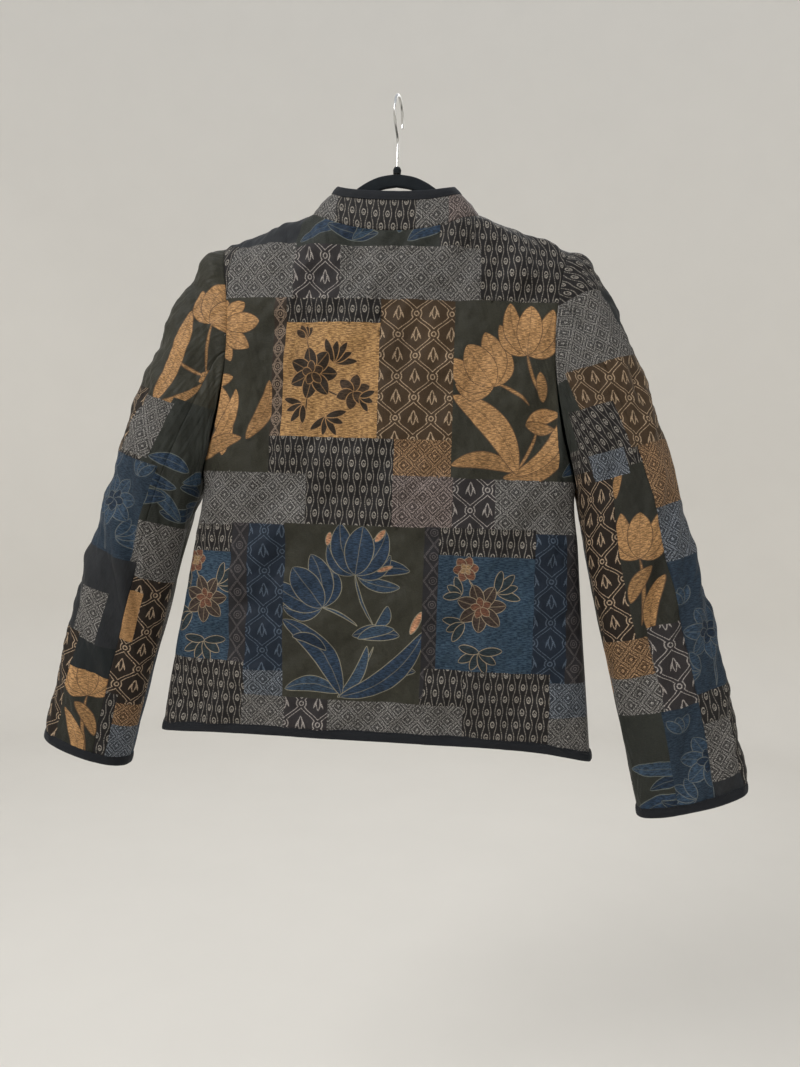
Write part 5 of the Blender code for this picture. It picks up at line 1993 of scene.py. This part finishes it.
@dataclass(frozen=True)
class BlackFlock:
    """The hanger's short black velvet."""

    colour: Colour = (0.009, 0.012, 0.015)
    roughness: float = 0.92
    fine_scale: float = 900.0
    broad_scale: float = 60.0
    bump_height: float = 0.0003

    def dress(self) -> bpy.types.Material:
        """Makes the velvet's material."""
        maker = Finisher("black_flock")
        fine, broad = maker.solid_noise(self.fine_scale), maker.solid_noise(self.broad_scale)
        shade = (fine - 0.5) * 1.2 + (broad - 0.5) * 0.8 + 1.0
        maker.feed(Base_Color=maker.shade(self.colour, shade), Roughness=self.roughness + (fine - 0.5) * 0.1)
        maker.feed(Sheen_Weight=0.12, Sheen_Roughness=0.35, Specular_IOR_Level=0.25)
        maker.bump(fine, self.bump_height, 0.6)
        return maker.material


@dataclass(frozen=True)
class HookSteel:
    """Bright wire, a little brushed along its length."""

    colour: Colour = (0.62, 0.62, 0.61)
    roughness: float = 0.24
    grain_scale: float = 1400.0
    grain_squeeze: Colour = (1.0, 1.0, 0.12)
    smudge_scale: float = 90.0
    bump_height: float = 0.00004

    def dress(self) -> bpy.types.Material:
        """Makes the wire's material."""
        maker = Finisher("hook_steel")
        grain = maker.solid_noise(self.grain_scale, squeeze=self.grain_squeeze)
        smudge = maker.solid_noise(self.smudge_scale)
        maker.feed(Base_Color=maker.shade(self.colour, (smudge - 0.5) * 0.25 + 1.0), Metallic=1.0)
        maker.feed(Roughness=(grain - 0.5) * 0.12 + (smudge - 0.5) * 0.15 + self.roughness)
        maker.bump(grain, self.bump_height, 0.5)
        return maker.material


@dataclass(frozen=True)
class BackdropPaint:
    """Plain pale matt paint with a faint grain."""

    colour: Colour = (0.74, 0.715, 0.67)
    roughness: float = 0.9
    grain_scale: float = 6.0

    def dress(self) -> bpy.types.Material:
        """Makes the paint's material."""
        maker = Finisher("pale_backdrop")
        shade = (maker.solid_noise(self.grain_scale, 3.0) - 0.5) * 0.04 + 1.0
        maker.feed(Base_Color=maker.shade(self.colour, shade), Roughness=self.roughness)
        return maker.material


@dataclass
class Studio:
    """The pale floor that sweeps up all round, the soft lights and the camera."""

    floor_z: float = -1.45
    radius: float = 3.2
    wall_top: float = 2.4
    fillet: float = 0.5
    fillet_steps: int = 12
    round_steps: int = 96
    floor_rings: tuple[float, ...] = (0.0, 0.6, 1.6)
    world_colour: tuple[float, ...] = (0.93, 0.96, 1.0, 1.0)
    world_strength: float = 0.74
    lit_place: tuple[float, float, float] = (0.0, 0.0, -0.4)
    camera_place: tuple[float, float, float] = (0.09258308, -0.90166744, -0.4380219)
    yaw: float = math.radians(4.8)
    pitch: float = math.radians(2.7)
    roll: float = math.radians(1.94)
    lens: float = 27.0
    sensor_height: float = 36.0

    def make(self) -> None:
        """Builds all of it."""
        self.sweep()
        self.lights()
        self.camera()

    def sweep(self) -> None:
        """A turned floor and wall in one piece."""
        turns = np.linspace(0, math.pi / 2, self.fillet_steps + 1)
        flat = self.radius - self.fillet
        bend_r = flat + self.fillet * np.sin(turns)
        bend_z = self.floor_z + self.fillet * (1 - np.cos(turns))
        radii = np.concatenate([self.floor_rings, bend_r, [self.radius]])
        heights = np.concatenate([[self.floor_z] * len(self.floor_rings), bend_z, [self.wall_top]])
        around = np.linspace(0, 2 * math.pi, self.round_steps + 1)
        x, y = np.outer(radii, np.cos(around)), np.outer(radii, np.sin(around))
        grid = np.stack([x, y, np.broadcast_to(heights[:, None], x.shape)], axis=2)
        rows, columns = cell_corners(*x.shape)
        corners = (rows * x.shape[1] + columns)[:, ::-1]
        backdrop = make_mesh("backdrop", grid.reshape(-1, 3), corners, [BackdropPaint().dress()])

    def lights(self) -> None:
        """A large soft key from the upper left, a weak fill and an even surround."""
        world = bpy.context.scene.world or bpy.data.worlds.new("studio")
        bpy.context.scene.world = world
        world.use_nodes = True
        back = next(n for n in world.node_tree.nodes if n.type == "BACKGROUND")
        back.inputs["Color"].default_value = self.world_colour
        back.inputs["Strength"].default_value = self.world_strength
        for name, place, size, power in (
            ("key", (-1.6, -1.7, 1.3), 1.1, 50.0),
            ("fill", (1.9, -1.7, 0.3), 1.8, 8.0),
            ("behind", (0.3, 2.2, 1.0), 1.8, 14.0),
        ):
            data = bpy.data.lights.new(name, "AREA")
            data.shape, data.size, data.energy = "DISK", size, power
            light = link(name, data)
            light.location = place
            heading = Vector(self.lit_place) - Vector(place)
            light.rotation_euler = heading.to_track_quat("-Z", "Y").to_euler()

    def camera(self) -> None:
        """The camera at the photograph's place and angle."""
        yaw, pitch, roll = self.yaw, self.pitch, self.roll
        ahead = Vector((-math.sin(yaw) * math.cos(pitch), math.cos(yaw) * math.cos(pitch), -math.sin(pitch)))
        level = Vector((math.cos(yaw), math.sin(yaw), 0.0))
        upright = level.cross(ahead)
        right = level * math.cos(roll) + upright * math.sin(roll)
        up = upright * math.cos(roll) - level * math.sin(roll)
        data = bpy.data.cameras.new("camera")
        data.sensor_fit, data.sensor_height, data.lens = "VERTICAL", self.sensor_height, self.lens
        camera = link("camera", data)
        turned = Matrix((right, up, -ahead)).transposed()
        camera.matrix_world = Matrix.Translation(self.camera_place) @ turned.to_4x4()
        bpy.context.scene.camera = camera
        bpy.context.scene.view_settings.view_transform = "Standard"


LEFT_SLEEVE = SleeveForm(
    sign=-1,
    reach=0.992,
    narrow=0.90,
    back_seam=4,
    sections=(
        SleeveSection(0.00, 0.042, 0.000),
        SleeveSection(0.15, 0.047, 0.000),
        SleeveSection(0.35, 0.047, 0.001),
        SleeveSection(0.60, 0.042, 0.004),
        SleeveSection(0.80, 0.037, 0.007),
        SleeveSection(1.00, 0.031, 0.010),
    ),
    folds=LEFT_SLEEVE_FOLDS,
)
RIGHT_SLEEVE = SleeveForm(
    sign=1,
    reach=1.0,
    narrow=1.0,
    back_seam=6,
    sections=(
        SleeveSection(0.00, 0.042, 0.000),
        SleeveSection(0.15, 0.046, -0.001),
        SleeveSection(0.35, 0.044, -0.006),
        SleeveSection(0.60, 0.038, -0.014),
        SleeveSection(0.80, 0.033, -0.020),
        SleeveSection(1.00, 0.025, -0.024),
    ),
    folds=RIGHT_SLEEVE_FOLDS,
)

# Softer folds that only the cloth has, besides those of the solids
LEFT_CREASES = (
    Fold(0.430, 0.070, 0.060, 0.011, -28.0, -0.0028),
    Fold(0.470, 0.090, 0.055, 0.012, -24.0, 0.0026),
    Fold(0.150, 0.060, 0.060, 0.012, -36.0, -0.0026),
    Fold(0.520, 0.060, 0.050, 0.010, 18.0, -0.0018),
)
RIGHT_CREASES = (
    Fold(0.180, 0.070, 0.060, 0.012, -30.0, -0.0026),
    Fold(0.350, 0.090, 0.055, 0.011, -22.0, 0.0024),
    Fold(0.450, 0.080, 0.060, 0.012, -26.0, -0.0026),
    Fold(0.510, 0.060, 0.050, 0.010, -14.0, 0.0018),
)


# How far a front edge's strip stops short of the hem's and the collar's
FRONT_BINDING_GAP = 0.0098


def hem_line(body: Body, depth: int) -> Grid:
    """The hem, or a line further up, round from one front edge to the other."""
    left, back, right = (p.points[depth] for p in (body.fronts["left"], body.back, body.fronts["right"]))
    return np.concatenate([left, back[1:-1], right[::-1]])


def front_line(body: Body, name: str, depth: int) -> Grid:
    """A front edge with the collar's end above it, or a line further in."""
    end = depth if name == "left" else -1 - depth
    return np.concatenate([body.fronts[name].points[:, depth], body.collar.points[1:, end]])


def cut_short(edge: Grid, inner: Grid, distance: float) -> tuple[Grid, Grid]:
    """An edge and its inner line without their first and last stretches.

    Args:
        edge: The edge.
        inner: A line further in.
        distance: How long each stretch is.

    Returns:
        The points that are kept of both.
    """
    gone = gone_along(edge)
    kept = (gone > distance) & (gone < gone[-1] - distance)
    return edge[kept], inner[kept]


def bind_edges(body: Body, sleeves: Sequence[Sleeve], finish: bpy.types.Material) -> None:
    """Binds the hem, the fronts, the collar and both cuffs.

    Args:
        body: The body.
        sleeves: The sleeves.
        finish: The strips' material.
    """
    Edging("hem_binding", hem_line(body, 0), hem_line(body, 3), seed=21).make(finish)
    collar = body.collar.points
    Edging("collar_binding", collar[-1], collar[-5], seed=31).make(finish)
    for name in body.fronts:
        edge, inner = cut_short(front_line(body, name, 0), front_line(body, name, 4), FRONT_BINDING_GAP)
        if name == "right":
            edge, inner = edge[::-1], inner[::-1]
        Edging(f"front_edge_binding_{name}", edge, inner, seed=41).make(finish)
    for sleeve in sleeves:
        cuff, inner = sleeve.points[-1, :-1], sleeve.points[-4, :-1]
        Edging(f"cuff_binding_{sleeve.name}", cuff, inner, closed=True, seed=51).make(finish)


def main() -> None:
    """Builds the jacket, its hanger and the studio."""
    logging.basicConfig(level=logging.INFO, format="%(message)s")
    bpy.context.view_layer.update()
    finishes = {fabric: CLOTHS[fabric].dress(fabric.value) for fabric in Fabric}
    body = Body()
    body.shaped()
    sleeves = [
        Sleeve("left", LEFT_SLEEVE, LEFT_UPPER_PATCHES, LEFT_UNDER_PATCHES, LEFT_CREASES, 61),
        Sleeve("right", RIGHT_SLEEVE, RIGHT_UPPER_PATCHES, RIGHT_UNDER_PATCHES, RIGHT_CREASES, 71),
    ]
    for sleeve in sleeves:
        sleeve.shaped(body)
    for panel in [*body.panels(), *(part for sleeve in sleeves for part in sleeve.parts)]:
        panel.make(finishes)
    bind_edges(body, sleeves, BindingTwill().dress())
    Hanger().make(BlackFlock().dress(), HookSteel().dress())
    Studio().make()


if __name__ == "__main__":
    main()
